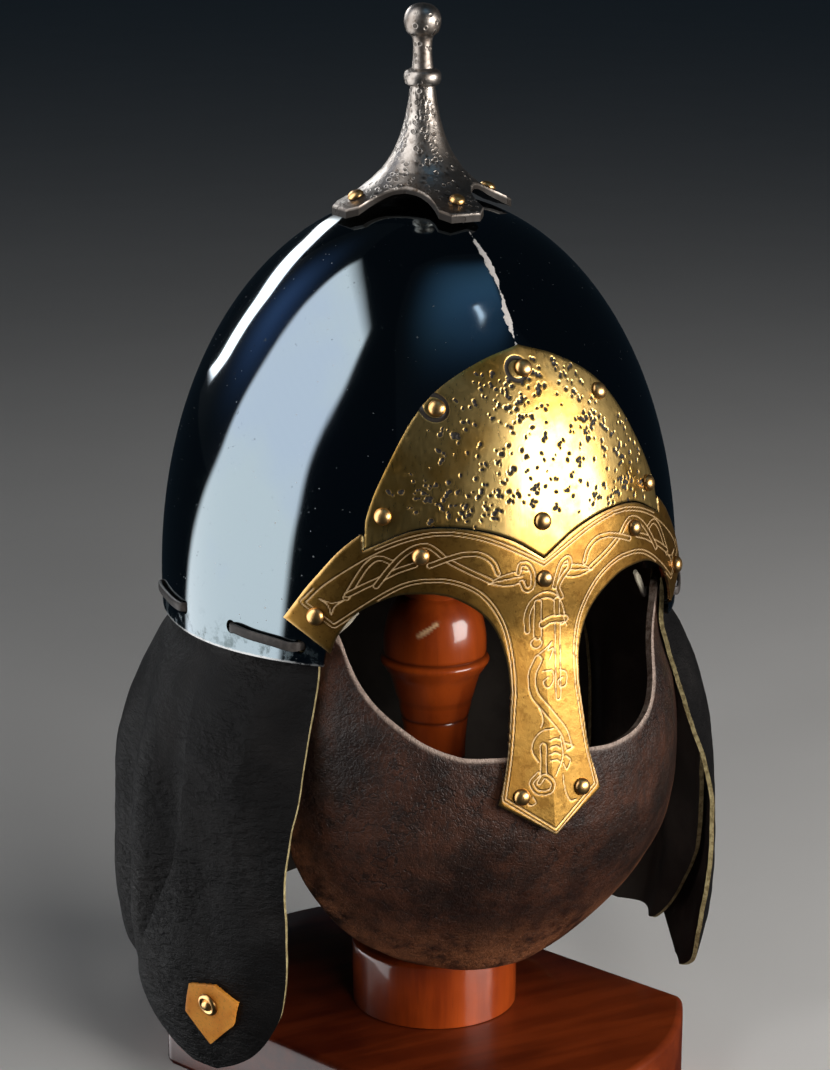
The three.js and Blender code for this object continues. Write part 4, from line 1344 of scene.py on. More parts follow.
@dataclass
class Finial:
    """The spike on its four lobes, each held by a rivet."""

    foot: float = 16.0
    crisp: float = 38.0
    neck: int = 7
    stem: int = 11
    lobe_bend: int = 3
    lobe_step: float = 1.1
    skirt_rings: int = 26
    under_rings: int = 8
    brim_ease: float = 0.4
    brim_drops: Point = (0.45, 1.1)
    pits: int = 190
    pit_low: float = 160.0
    pit_rise: float = 46.0
    pit_size: Point = (0.55, 1.05)
    pit_depth: float = 0.22
    # Where painted shade starts on the skirt's wall and underside: least radius, and depth below its top
    # face
    shade_wall_from: float = 15.0
    shade_wall_drop: Point = (0.15, 1.1)
    # Radius and height down the skirt, under it and down the spike, and one lobe's half in plan
    skirt_top: Line = ((16.0, 173.6), (22.0, 168.2), (29.0, 164.2), (37.0, 160.4), (44.0, 156.6))
    skirt_under: Line = (
        (0.0, 168.4), (15.0, 168.4), (18.0, 168.2), (21.5, 166.2), (25.0, 163.5), (30.0, 160.6),
        (37.0, 157.0), (44.0, 153.6),
    )
    spike: Line = (
        (0.0, 237.2), (3.8, 236.3), (6.4, 233.8), (7.2, 230.2), (6.2, 226.2), (4.0, 223.8), (3.7, 218.0),
        (4.2, 212.4), (6.6, 211.2), (7.3, 208.9), (6.6, 206.3), (4.9, 205.4), (6.0, 197.5), (8.2, 188.5),
        (11.5, 180.4), (16.0, 173.6),
    )
    lobe: Line = (
        (14.9, 14.9), (11.6, 19.0), (9.4, 23.5), (9.0, 28.0), (9.6, 32.4), (6.2, 36.2), (0.0, 36.5),
    )

    def plan(self) -> tuple[Array, Array]:
        """Angles and reaches of the lobed outline, once round.

        Returns:
            The angles from the front, rising, and the outline's radius at each.
        """
        curved = curve_through(self.lobe[: self.lobe_bend + 1], self.lobe_step)
        straight = range(self.lobe_bend, len(self.lobe) - 1)
        tip = np.vstack([curve_through(self.lobe[i : i + 2], self.lobe_step)[1:] for i in straight])
        half = np.vstack([curved, tip])
        angle = np.arctan2(half[:, 0], half[:, 1])
        reach = np.hypot(half[:, 0], half[:, 1])
        order = np.argsort(angle)
        angle, reach = angle[order], reach[order]
        one = np.concatenate([-angle[:0:-1], angle[:-1]])
        far = np.concatenate([reach[:0:-1], reach[:-1]])
        turns = np.concatenate([one + k * math.pi / 2 for k in range(4)])
        return turns, np.tile(far, 4)

    def rings(self, reach: Array) -> tuple[Array, Array]:
        """Rings from the tip down over the skirt and back underneath to the axis.

        Args:
            reach: The outline's radius, once round.

        Returns:
            The radius and the height along each ring, one row each.
        """
        over, under = np.array(self.skirt_top), np.array(self.skirt_under)
        ball = curve_through(self.spike[: self.neck + 1], 0.5)
        collar = curve_through(self.spike[self.neck : self.stem + 1], 0.4)
        trumpet = curve_through(self.spike[self.stem :], 0.8)
        line = np.vstack([ball, collar[1:], trumpet[1:-1]])
        even = np.ones_like(reach)
        rings = [(even * radius, even * height) for radius, height in line]
        for share in np.linspace(0.0, 1.0, self.skirt_rings):
            far = self.foot + (reach - self.foot - self.brim_ease) * share
            rings.append((far, eased(over[:, 0], over[:, 1], far)))
        brim = eased(over[:, 0], over[:, 1], reach)
        rings += [(reach, brim - drop) for drop in self.brim_drops]
        for share in np.linspace(1.0, 0.0, self.under_rings):
            rings.append((reach * share, eased(under[:, 0], under[:, 1], reach * share)))
        radius, height = np.array(rings).transpose(1, 0, 2)
        return radius, height

    def build(self) -> None:
        """Shapes the finial as one closed skin, pits it and dresses it."""
        turns, reaches = self.plan()
        radius, height = self.rings(reaches)
        piece = Bench.grid("finial_steel", len(turns), len(radius) - 1)
        column, row = Bench.steps(piece, len(turns), len(radius) - 1)
        column %= len(turns)
        angle, far, up = turns[column], radius[row, column], height[row, column]
        Bench.settle(piece, np.stack([far * np.sin(angle), -far * np.cos(angle), up], axis=-1))
        Bench.weld(piece)
        self.pit(piece)
        Bench.dress(piece, self.crisp, PittedSteel())
        Bench.done(piece, Slot.PITTED_STEEL, "finial")

    def pit(self, piece: Piece) -> None:
        """Dents the skin with small pits, and marks them and the skirt's wall and underside, which get
        painted shade.

        Args:
            piece: The finial.
        """
        draw = random.Random(41)
        points = Bench.places(piece) / MM - [0.0, 0.0, RIM_HEIGHT]
        skirt, spike = np.array(self.skirt_top), np.array(self.spike[self.stem :])
        deep = np.zeros(len(points))
        for _ in range(self.pits):
            angle = draw.uniform(0.0, 2 * math.pi)
            height = self.pit_low + self.pit_rise * draw.random() ** 1.5
            radius = float(np.interp(height, spike[:, 1][::-1], spike[:, 0][::-1]))
            if height < skirt[0, 1]:
                radius = float(np.interp(-height, -skirt[:, 1], skirt[:, 0]))
            centre = np.array([radius * math.sin(angle), -radius * math.cos(angle), height])
            gap = np.linalg.norm(points - centre, axis=1) / draw.uniform(*self.pit_size)
            deep = np.maximum(deep, np.clip(1.0 - gap**2, 0.0, 1.0))
        axis = points * [1.0, 1.0, 0.0]
        reach = np.linalg.norm(axis, axis=1)
        out = axis / np.maximum(reach, TINY)[:, None]
        Bench.settle(piece, points - out * (self.pit_depth * deep)[:, None])
        Bench.mark(piece, "pit", deep)
        # Painted shade on the skirt's edge wall and underside, below its top face
        below = eased(skirt[:, 0], skirt[:, 1], reach) - points[:, 2]
        Bench.mark(piece, "wall", np.where(reach > self.shade_wall_from, smoothstep(below, *self.shade_wall_drop), 0.0))


# The brass


@dataclass
class BrassPlates:
    """The forehead plate and the brow band with its nasal."""

    wall: float = 1.4
    crisp: float = 42.0
    step: float = 0.40
    worn_depth: float = 0.22
    worn_width: float = 0.75
    bright_width: float = 0.9
    pits: int = 390
    pit_depth: float = 0.42
    pit_lip: float = 0.04
    pit_long: Point = (0.38, 0.92)
    pit_thin: Point = (0.5, 0.9)
    pit_lobes: tuple[int, ...] = (1, 1, 1, 2, 3)
    pit_edge: float = 1.35
    lip_at: float = 1.75
    lip_width: float = 0.6
    rim_edge: float = 1.3
    rim_width: float = 0.8
    lobe_spread: float = 0.7
    cluster_spread: float = 0.75
    cut_depth: float = 0.15
    cut_lip: float = 0.02
    tip: float = -64.9
    plate_gap: float = 0.6
    # Outlines of one half, across and up
    brow_top: Line = (
        (0.0, 40.2), (12.4, 48.0), (25.0, 52.5), (37.0, 54.1), (46.3, 53.4), (53.2, 51.0), (63.9, 45.4),
    )
    brow_arm: Line = (
        (63.7, 51.8), (67.7, 48.2), (72.6, 42.6), (79.8, 31.9), (83.4, 25.3), (87.0, 18.1),
    )
    eye_edge: Line = (
        (74.5, 6.0), (71.6, 14.5), (65.8, 22.8), (55.4, 28.8), (46.5, 29.9), (36.0, 28.4), (25.8, 22.3),
        (19.6, 14.8), (15.9, 4.5), (14.9, -5.0), (15.1, -13.0), (17.1, -31.5), (19.6, -43.0), (22.2, -51.0),
    )
    plate_edge: Line = (
        (63.1, 46.2), (62.6, 52.0), (61.4, 58.7), (56.0, 71.3), (44.4, 90.7), (32.2, 103.3), (15.8, 112.2),
        (0.0, 117.2),
    )
    # Clusters of pits: across, up, width, height and how many fall there
    clusters: tuple[tuple[float, ...], ...] = (
        (-36.0, 62.0, 15.0, 9.0, 3.0), (-14.0, 66.0, 10.0, 9.0, 1.4), (-30.0, 84.0, 9.0, 9.0, 1.1),
        (-8.0, 100.0, 12.0, 7.0, 2.0), (14.0, 106.0, 9.0, 4.0, 1.0), (30.0, 88.0, 10.0, 9.0, 1.8),
        (44.0, 68.0, 8.0, 11.0, 2.0), (8.0, 78.0, 14.0, 12.0, 1.3), (4.0, 60.0, 9.0, 6.0, 0.7),
        (30.0, 62.0, 8.0, 5.0, 0.5),
    )
    # Hole rims that show beside two rivets: across, up and radius
    open_rims: Rows = ((-35.2, 96.9, 4.4), (-2.6, 108.8, 4.0))

    def brow_outline(self) -> tuple[Array, list[Point]]:
        """Closed outline of the brow band and nasal.

        Returns:
            The outline and its sharp corners.
        """
        parts = [curve_through(self.brow_top), curve_through(self.brow_arm), curve_through(self.eye_edge)]
        half = np.vstack([*parts, [(0.0, self.tip)]])
        sharp = [self.brow_top[-1], self.brow_arm[0], self.brow_arm[-1], self.eye_edge[0], self.eye_edge[-1]]
        both = [(s * x, y) for x, y in sharp for s in (1, -1)]
        return mirrored(half), [*both, self.brow_top[0], (0.0, self.tip)]

    def plate_outline(self) -> tuple[Array, list[Point]]:
        """Closed outline of the forehead plate.

        Returns:
            The outline and its sharp corners.
        """
        low = curve_through(self.brow_top[:-1]) + [0.0, self.plate_gap]
        half = np.vstack([low, curve_through(self.plate_edge)])
        corner = self.plate_edge[0]
        ends = [(0.0, self.brow_top[0][1] + self.plate_gap), self.plate_edge[-1]]
        return mirrored(half), [corner, (-corner[0], corner[1]), *ends]

    def shape(self, piece: Piece, outline: Array, sunk: Array) -> None:
        """Bends a cut sheet onto the brass face, with cuts sunk in and edges eased.

        Args:
            piece: The flat sheet.
            outline: Its outline.
            sunk: How deep each vertex is cut, in millimetres.
        """
        flat = Bench.places(piece)[:, :2]
        gap = line_distance(flat, outline, closed=True)[0]
        worn = self.worn_depth * np.clip(1.0 - gap / self.worn_width, 0.0, 1.0) ** 2
        base = BRASS.point(flat[:, 0], flat[:, 1])
        deeper = BRASS.point(flat[:, 0], flat[:, 1], -1.0)
        Bench.settle(piece, base + (deeper - base) * (sunk + worn)[:, None])
        Bench.mark(piece, "edge", np.clip(1.0 - gap / self.bright_width, 0.0, 1.0))

    def build(self) -> None:
        """Makes both sheets."""
        self.build_plate()
        self.build_brow()

    def build_plate(self) -> None:
        """The pitted forehead plate."""
        outline, corners = self.plate_outline()
        piece = cut_flat("forehead_brass", outline, corners, self.step)
        pit, lip = self.pit_marks(Bench.places(piece)[:, :2])
        self.shape(piece, outline, self.pit_depth * pit - self.pit_lip * lip)
        Bench.mark(piece, "pit", pit)
        Bench.mark(piece, "lip", lip)
        Bench.dress(piece, self.crisp, PlateBrass(), wall=self.wall)
        Bench.done(piece, Slot.BRIGHT_BRASS, "forehead_plate")

    def pit_marks(self, flat: Array) -> tuple[Array, Array]:
        """Etched pits in clusters, and open rims where two rivets sit off their holes.

        Args:
            flat: Places across and up.

        Returns:
            How deep the pit is at each place, from 0 to 1, and the raised lip round it.
        """
        draw = random.Random(7)
        weights = [row[4] for row in self.clusters]
        deep = np.zeros(len(flat))
        lip = np.zeros(len(flat))
        for _ in range(self.pits):
            across, up, wide, tall, _weight = draw.choices(self.clusters, weights)[0]
            spread = self.cluster_spread
            centre = np.array([draw.gauss(across, wide * spread), draw.gauss(up, tall * spread)])
            for _lobe in range(draw.choice(self.pit_lobes)):
                away = flat - (centre + [draw.gauss(0, self.lobe_spread), draw.gauss(0, self.lobe_spread)])
                tilt = draw.uniform(0.0, math.pi)
                long = draw.uniform(*self.pit_long)
                thin = long * draw.uniform(*self.pit_thin)
                u = (away[:, 0] * math.cos(tilt) + away[:, 1] * math.sin(tilt)) / long
                v = (away[:, 1] * math.cos(tilt) - away[:, 0] * math.sin(tilt)) / thin
                gap = np.hypot(u, v)
                deep = np.maximum(deep, np.clip(self.pit_edge - gap, 0.0, 1.0))
                beside = np.abs(gap - self.lip_at) / self.lip_width
                lip = np.maximum(lip, np.clip(1.0 - beside, 0.0, 1.0))
        for across, up, radius in self.open_rims:
            ring = np.abs(np.hypot(flat[:, 0] - across, flat[:, 1] - up) - radius)
            deep = np.maximum(deep, np.clip(self.rim_edge - ring / self.rim_width, 0.0, 1.0))
        lip *= np.clip(1.0 - deep, 0.0, 1.0)
        return deep, lip

    def build_brow(self) -> None:
        """The engraved brow band and nasal."""
        outline, corners = self.brow_outline()
        piece = cut_flat("brow_nasal_brass", outline, corners, self.step)
        cut, lip = Engraving().marks(Bench.places(piece)[:, :2])
        self.shape(piece, outline, self.cut_depth * cut - self.cut_lip * lip)
        # cut carries the engraving's painted highlight, and lip its painted shade
        Bench.mark(piece, "cut", cut)
        Bench.mark(piece, "lip", lip)
        Bench.dress(piece, self.crisp, EngravedBrass(), wall=self.wall)
        Bench.done(piece, Slot.ENGRAVED_BRASS, "brow_nasal")


@dataclass(frozen=True)
class Ribbon:
    """A strand of the interlace: two cut lines beside a middle line, or one line if it has no width."""

    points: Line
    half: float = 0.85


@dataclass
class Engraving:
    """Traditional beast interlace and borders, cut into the brow band and nasal."""

    cut: float = 0.28
    lip_at: float = 1.55
    lip_width: float = 0.75
    near: float = 3.0
    border_gap: float = 1.3
    past_middle: float = -5.0
    arm_from: float = 60.0
    arm_slope: float = 0.9
    arm_drop: float = 40.0
    # Border of one half, and the strands, all across and up
    border_top: Line = (
        (0.0, 37.4), (9.0, 42.4), (17.5, 46.6), (26.0, 49.7), (36.0, 51.5), (45.0, 50.7), (54.3, 47.6),
        (63.8, 42.2), (75.0, 32.8), (81.0, 25.0),
    )
    border_low: Line = (
        (73.4, 17.6), (65.8, 24.4), (57.0, 31.1), (49.2, 34.8), (39.7, 35.6), (31.4, 33.6), (24.0, 29.0),
        (18.2, 21.5), (14.6, 13.0), (12.8, 2.0), (12.7, -8.0), (13.5, -15.5), (15.7, -32.0), (19.2, -48.8),
    )
    border_tip: float = -62.6
    brow: tuple[Ribbon, ...] = (
        Ribbon(((69.6, 27.8), (66.2, 34.8), (62.6, 40.7), (59.0, 43.2), (55.2, 41.8))),
        Ribbon(((69.2, 29.0), (63.9, 32.6), (58.5, 35.7), (53.5, 38.6), (47.6, 40.9))),
        Ribbon(
            ((60.4, 32.8), (55.8, 39.4), (51.6, 44.2), (47.4, 47.1), (43.4, 47.8), (40.4, 46.0),
             (36.6, 42.4), (29.5, 38.1), (21.4, 33.8)),
        ),
        Ribbon(((42.8, 40.5), (36.0, 43.0), (29.7, 44.4), (24.4, 43.7), (20.4, 40.8), (18.5, 36.4))),
        Ribbon(((70.4, 26.8), (73.8, 25.6), (77.4, 26.8)), 0.0),
        Ribbon(((70.4, 26.8), (72.9, 24.4), (74.1, 21.0)), 0.0),
        Ribbon(((77.4, 26.8), (75.0, 24.6), (74.1, 21.0)), 0.0),
    )
    leaf: tuple[Ribbon, ...] = (
        Ribbon(((22.4, 32.9), (17.1, 35.3), (10.2, 36.6), (6.0, 36.2)), 0.0),
        Ribbon(((22.4, 32.9), (14.6, 31.4), (8.0, 32.6)), 0.0),
        Ribbon(((22.4, 32.9), (15.0, 33.9), (8.6, 34.6)), 0.0),
    )
    beast: tuple[Ribbon, ...] = (
        Ribbon(
            ((-10.6, 36.0), (-9.6, 38.9), (-6.6, 38.6), (-4.7, 34.5), (-5.2, 30.0), (-7.8, 29.4),
             (-9.4, 32.4)),
        ),
        Ribbon(
            ((4.4, 29.0), (5.9, 34.0), (8.0, 38.0), (10.9, 38.9), (11.2, 35.6), (8.0, 32.2), (6.0, 28.6),
             (7.6, 24.6)),
        ),
        Ribbon(
            ((-6.9, 13.4), (-7.0, 19.4), (-4.6, 24.2), (0.2, 26.4), (4.8, 24.6), (7.4, 20.2), (8.2, 15.0)),
            1.1,
        ),
        Ribbon(((-2.6, 23.4), (-2.8, 11.0)), 1.5),
        Ribbon(((5.6, 23.6), (5.9, 11.0), (5.2, -2.0), (4.6, -13.0)), 1.15),
        Ribbon(((-0.8, 15.0), (2.6, 16.4), (6.0, 16.2), (9.4, 15.8)), 1.3),
        Ribbon(((9.2, 18.6), (9.0, 15.8), (10.2, 12.9)), 0.0),
        Ribbon(((-3.4, 10.4), (-5.5, 9.0), (-5.0, 6.8), (-2.6, 6.5), (-1.2, 8.2), (-2.2, 10.2)), 0.0),
        Ribbon(((-4.2, 3.2), (0.2, 5.8), (3.2, 8.0)), 0.0),
        Ribbon(((3.2, 8.0), (1.0, 5.0), (3.6, 5.3), (1.6, 1.4)), 0.0),
        Ribbon(((-1.5, -2.4), (2.4, -2.8), (2.8, -6.6), (0.1, -9.0), (-1.7, -6.6), (0.5, -4.8)), 0.0),
        Ribbon(((5.8, -3.0), (8.8, -4.6), (8.5, -9.0), (5.6, -9.6), (4.9, -7.0), (7.2, -6.0)), 0.0),
        Ribbon(
            ((-3.2, 2.0), (-6.0, -3.4), (-5.6, -10.4), (-1.9, -15.8), (1.6, -20.4), (6.2, -26.6),
             (8.0, -32.4)),
            1.5,
        ),
        Ribbon(((-4.2, -15.4), (-2.6, -20.2), (-3.6, -23.4)), 0.0),
        Ribbon(((1.6, -24.4), (-3.0, -24.8), (-6.4, -27.4), (-7.8, -31.6), (-5.4, -36.6)), 0.0),
        Ribbon(((-3.6, -41.2), (-3.2, -30.6)), 1.15),
        Ribbon(((-0.6, -29.0), (2.0, -28.4), (4.6, -29.4)), 0.0),
        Ribbon(((-0.6, -31.6), (2.0, -31.2), (4.0, -32.4)), 0.0),
        Ribbon(((-0.8, -34.1), (1.8, -33.8), (3.9, -35.0)), 0.0),
        Ribbon(((-0.9, -36.7), (1.8, -36.4), (3.8, -37.8)), 0.0),
        Ribbon(((4.4, -28.0), (5.0, -36.0), (1.4, -42.6)), 0.0),
        Ribbon(
            ((-5.8, -41.0), (-8.7, -44.0), (-6.4, -47.8), (-1.4, -48.0), (-0.2, -44.8), (-3.2, -42.0),
             (-5.6, -44.2)),
            0.8,
        ),
        Ribbon(((-11.8, -47.6), (-10.2, -52.2), (-7.4, -51.8), (-8.4, -49.4)), 0.0),
        Ribbon(((4.6, -42.6), (5.4, -49.0), (7.4, -53.2), (10.2, -53.2)), 0.0),
        Ribbon(((6.4, -35.6), (8.4, -38.0), (6.6, -41.0), (5.0, -38.4)), 0.0),
        Ribbon(((6.6, -31.0), (10.2, -33.0), (7.0, -34.0)), 0.0),
    )

    def marks(self, flat: Array) -> tuple[Array, Array]:
        """Cut lines at places across and up.

        Args:
            flat: The places.

        Returns:
            How deep the cut is at each place, from 0 to 1, and the lip beside it, which the brass darkens as
            painted shade.
        """
        folded = np.column_stack([np.abs(flat[:, 0]), flat[:, 1]])
        gap = self.border(folded)
        for strand in (*self.leaf, *self.brow):
            gap = self.strand(gap, folded, strand)
        for strand in self.beast:
            gap = self.strand(gap, flat, strand)
        cut = np.clip(1.0 - (gap / self.cut) ** 2, 0.0, 1.0)
        beside = np.abs(gap - self.lip_at * self.cut) / (self.lip_width * self.cut)
        lip = np.clip(1.0 - beside, 0.0, 1.0)
        return cut, lip

    def border(self, folded: Array) -> Array:
        """Distance to the border lines, which are doubled except on the arms.

        Args:
            folded: The places, with both halves folded onto one.

        Returns:
            The distances.
        """
        top, low = curve_through(self.border_top), curve_through(self.border_low)
        line = np.vstack([top, low, [(0.0, self.border_tip)]])
        gap = line_distance(folded, line)[0]
        beyond = [(self.past_middle, self.border_tip), (self.past_middle, self.border_top[0][1])]
        ring = np.vstack([line, beyond])
        outside = ~inside(folded, ring)
        doubled = np.where(outside, np.abs(gap - self.border_gap), np.inf)
        arm = (folded[:, 0] > self.arm_from) & (folded[:, 1] > self.arm_slope * folded[:, 0] - self.arm_drop)
        return np.minimum(gap, np.where(arm, np.inf, doubled))

    def strand(self, gap: Array, flat: Array, strand: Ribbon) -> Array:
        """Lays a strand over the lines so far.

        Args:
            gap: Distance to the nearest line so far.
            flat: The places.
            strand: What is laid.

        Returns:
            The new distance to the nearest line.
        """
        line = curve_through(strand.points, 0.5)
        margin = strand.half + self.near
        low, high = line.min(axis=0) - margin, line.max(axis=0) + margin
        near = np.flatnonzero(((flat > low) & (flat < high)).all(axis=1))
        away = line_distance(flat[near], line)[0]
        found = gap.copy()
        under = np.where(away < strand.half, np.inf, gap[near])
        found[near] = np.minimum(under, np.abs(away - strand.half))
        return found


@dataclass
class Rivets:
    """Domed brass rivets, modelled once and copied."""

    radius: float = 3.4
    height: float = 2.5
    seat: float = 0.25
    sunk: float = -0.06
    dome: float = 0.9
    crown: float = 0.30
    crisp: float = 50.0
    uneven: Point = (0.95, 1.02)
    # Turn in radians and height of each rivet on the brass
    brass: tuple[tuple[str, float, float], ...] = (
        ("plate_rivet_top", 0.0, 109.0), ("plate_rivet_bottom", 0.0, 54.3),
        ("plate_rivet_upper_left", -0.395, 96.6), ("plate_rivet_upper_right", 0.395, 96.6),
        ("plate_rivet_lower_left", -0.595, 58.4), ("plate_rivet_lower_right", 0.595, 58.4),
        ("brow_rivet_centre", 0.0, 32.8),
        ("brow_rivet_mid_left", -0.456, 44.0), ("brow_rivet_mid_right", 0.456, 44.0),
        ("brow_rivet_end_left", -0.835, 20.0), ("brow_rivet_end_right", 0.835, 20.0),
        ("nasal_rivet_left", -0.123, -48.8), ("nasal_rivet_right", 0.123, -48.8),
    )
    lobe_reach: float = 28.8
    lobe_up: float = 164.5
    lobe_lean: float = 0.43
    lobe_radius: float = 3.2
    lobe_height: float = 2.2
    # Which way from the axis each rivet on the finial is
    lobes: tuple[tuple[str, float, float], ...] = (
        ("finial_rivet_front", 0.0, -1.0), ("finial_rivet_right", 1.0, 0.0),
        ("finial_rivet_back", 0.0, 1.0), ("finial_rivet_left", -1.0, 0.0),
    )

    def head(self) -> Piece:
        """One rivet head of unit size, its flat seat on the ground plane.

        Returns:
            The head, to be copied.
        """
        Bench.clear()
        bpy.ops.mesh.primitive_uv_sphere_add(segments=36, ring_count=24, radius=1.0)
        piece = bpy.context.object
        piece.name = "rivet_pattern"
        with Bench.editing(piece):
            seat = (0, 0, self.sunk)
            bpy.ops.mesh.bisect(plane_co=seat, plane_no=(0, 0, 1), use_fill=True, clear_inner=True)
        at = Bench.places(piece)
        at[:, 2] = np.where(at[:, 2] > 0, np.maximum(at[:, 2], 0.0) ** self.dome, at[:, 2])
        Bench.place(piece, at)
        Bench.mark(piece, "crown", smoothstep(at[:, 2], self.sunk, self.crown))
        Bench.dress(piece, self.crisp, RivetBrass())
        return piece

    def copy(
        self, head: Piece, name: str, seat: Vector, way: Vector, radius: float, height: float
    ) -> None:
        """One rivet on its seat.

        Args:
            head: The head of unit size.
            name: The CAD node that it stands for.
            seat: The place under it, in the helmet's frame.
            way: Which way it points.
            radius: Its radius.
            height: Its height.
        """
        draw = random.Random(name)
        piece = Bench.add(name + "_head", head.data.copy())
        piece.data.name = piece.name
        across, along = (radius * draw.uniform(*self.uneven) for _ in range(2))
        size = Matrix.Diagonal((across, along, height, 1.0))
        spin = Matrix.Rotation(draw.uniform(0.0, math.pi), 4, "Z")
        lean = way.to_track_quat("Z", "Y").to_matrix().to_4x4()
        place = Matrix.Translation(seat + way * self.seat + Vector((0.0, 0.0, RIM_HEIGHT)))
        piece.data.transform(Matrix.Scale(MM, 4) @ place @ lean @ spin @ size)
        Bench.done(piece, Slot.BRIGHT_BRASS, name)

    def build(self) -> None:
        """All the rivets on brass and finial."""
        head = self.head()
        for name, turn, up in self.brass:
            across = float(BOWL.point(np.array([turn]), np.array([max(up, 0.0)]), BRASS.lift)[0, 0])
            way = BRASS.normal(across, up)
            if across == 0.0:
                way = Vector((0.0, way.y, way.z)).normalized()
            seat = Vector(BRASS.point(np.array([across]), np.array([up]))[0])
            self.copy(head, name, seat, way, self.radius, self.height)
        for name, x, y in self.lobes:
            way = Vector((x * self.lobe_lean, y * self.lobe_lean, 1.0)).normalized()
            seat = Vector((x * self.lobe_reach, y * self.lobe_reach, self.lobe_up))
            self.copy(head, name, seat, way, self.lobe_radius, self.lobe_height)
        bpy.data.objects.remove(head)


# The leather


@dataclass
class FaceMask:
    """Thick brown leather mask that hangs under the eye arches."""

    wall: float = 3.0
    crisp: float = 45.0
    shift: float = 0.8
    front_power: float = 0.88
    square_from: Point = (6.0, 30.0)
    columns: int = 200
    rows: int = 110
    reach: float = 1.08
    edge_round: float = 0.5
    edge_width: float = 2.2
    calm_width: float = 6.0
    rub_width: Point = (1.0, 34.0)
    raw_width: Point = (0.9, 2.0)
    mean_radius: float = 100.0
    # Depth, size and seed of the uneven skin's two noises
    dents: Rows = ((0.30, 16.0, 3.0), (0.12, 5.0, 9.0))
    # Height, half width and forward reach
    sections: Rows = (
        (-137.0, 44.0, 67.5), (-130.0, 63.5, 72.0), (-118.0, 81.0, 79.5), (-104.0, 92.0, 88.0),
        (-85.0, 98.7, 98.0), (-65.0, 100.0, 104.4), (-50.0, 100.0, 105.0), (-30.0, 99.0, 101.8),
        (-10.0, 97.8, 95.4), (0.0, 97.4, 93.6), (14.0, 97.4, 93.4),
    )
    # Turn in radians and height along the lower edge's half, and along the eye edge
    low_edge: Line = (
        (0.0, -135.4), (0.17, -135.6), (0.37, -135.0), (0.45, -133.8), (0.54, -132.0), (0.65, -129.0),
        (0.74, -122.0), (0.79, -118.0), (0.83, -113.0), (0.89, -104.0), (1.0, -85.0), (1.08, -70.0),
    )
    eye_edge: Line = (
        (-1.08, 13.0), (-0.83, 13.0), (-0.785, 10.4), (-0.75, 1.9), (-0.705, -7.2), (-0.648, -15.1),
        (-0.573, -21.9), (-0.485, -28.0), (-0.393, -31.9), (-0.318, -33.8), (-0.2, -34.4), (0.0, -35.0),
        (0.2, -36.2), (0.3, -37.0), (0.42, -36.0), (0.555, -31.5), (0.66, -22.0), (0.75, -9.0), (0.82, 3.0),
        (0.87, 11.0), (0.92, 13.0), (1.08, 13.0),
    )

    def face(self, turn: Array, up: Array) -> Array:
        """Points of the mask's face.

        Args:
            turn: Angles from the front, in radians.
            up: Heights over the rim plane.

        Returns:
            One row of x, y and height each.
        """
        table = np.array(self.sections)
        wide = eased(table[:, 0], table[:, 1], up)
        reach = eased(table[:, 0], table[:, 2], up)
        square = smoothstep(-up, *self.square_from)
        forward = reach * np.cos(turn) ** (1.0 + (self.front_power - 1.0) * square)
        return np.stack([wide * np.sin(turn) + self.shift * square, -forward, up], axis=-1)

    def build(self) -> None:
        """Shapes the mask, roughens it, gives it its thickness and dresses it."""
        piece = Bench.grid("mask_leather", self.columns, self.rows)
        across, share = Bench.shares(piece)
        turn = (2 * across - 1) * self.reach
        hem, brow = np.array(self.low_edge), np.array(self.eye_edge)
        low = eased(hem[:, 0], hem[:, 1], np.abs(turn))
        high = eased(brow[:, 0], brow[:, 1], turn)
        up = low + (high - low) * share
        points = self.face(turn, up)
        rough = sum(depth * noise_at(points, size, seed) for depth, size, seed in self.dents)
        from_edge = np.minimum(up - low, high - up)
        swell = self.edge_round * (smoothstep(from_edge, 0.0, self.edge_width) - 1.0)
        axis = points * [1.0, 1.0, 0.0]
        out = axis / np.linalg.norm(axis, axis=1)[:, None]
        push = rough * smoothstep(from_edge, 0.0, self.calm_width) + swell
        Bench.settle(piece, points + out * push[:, None])
        Bench.mark(piece, "rub", 1.0 - smoothstep(up - low, *self.rub_width))
        grow = np.maximum(np.abs(np.gradient(brow[:, 1], brow[:, 0])), 1.0)
        steep = np.interp(turn, brow[:, 0], np.hypot(1.0, grow / self.mean_radius))
        Bench.mark(piece, "raw", 1.0 - smoothstep((high - up) / steep, *self.raw_width))
        finishes = (BrownLeather(), RawEdge(), FleshSide())
        Bench.dress(piece, self.crisp, *finishes, wall=self.wall, back=2, rim=1)
        Bench.done(piece, Slot.BROWN_LEATHER, "face_mask")


@dataclass(frozen=True)
class PanelCut:
    """One leather panel: its edges at each height, its folds and how deep it hangs inside the rim."""

    node: str
    rows: Rows
    folds: Line
    depth: float
    side: Side
    flat: Point
    seed: float


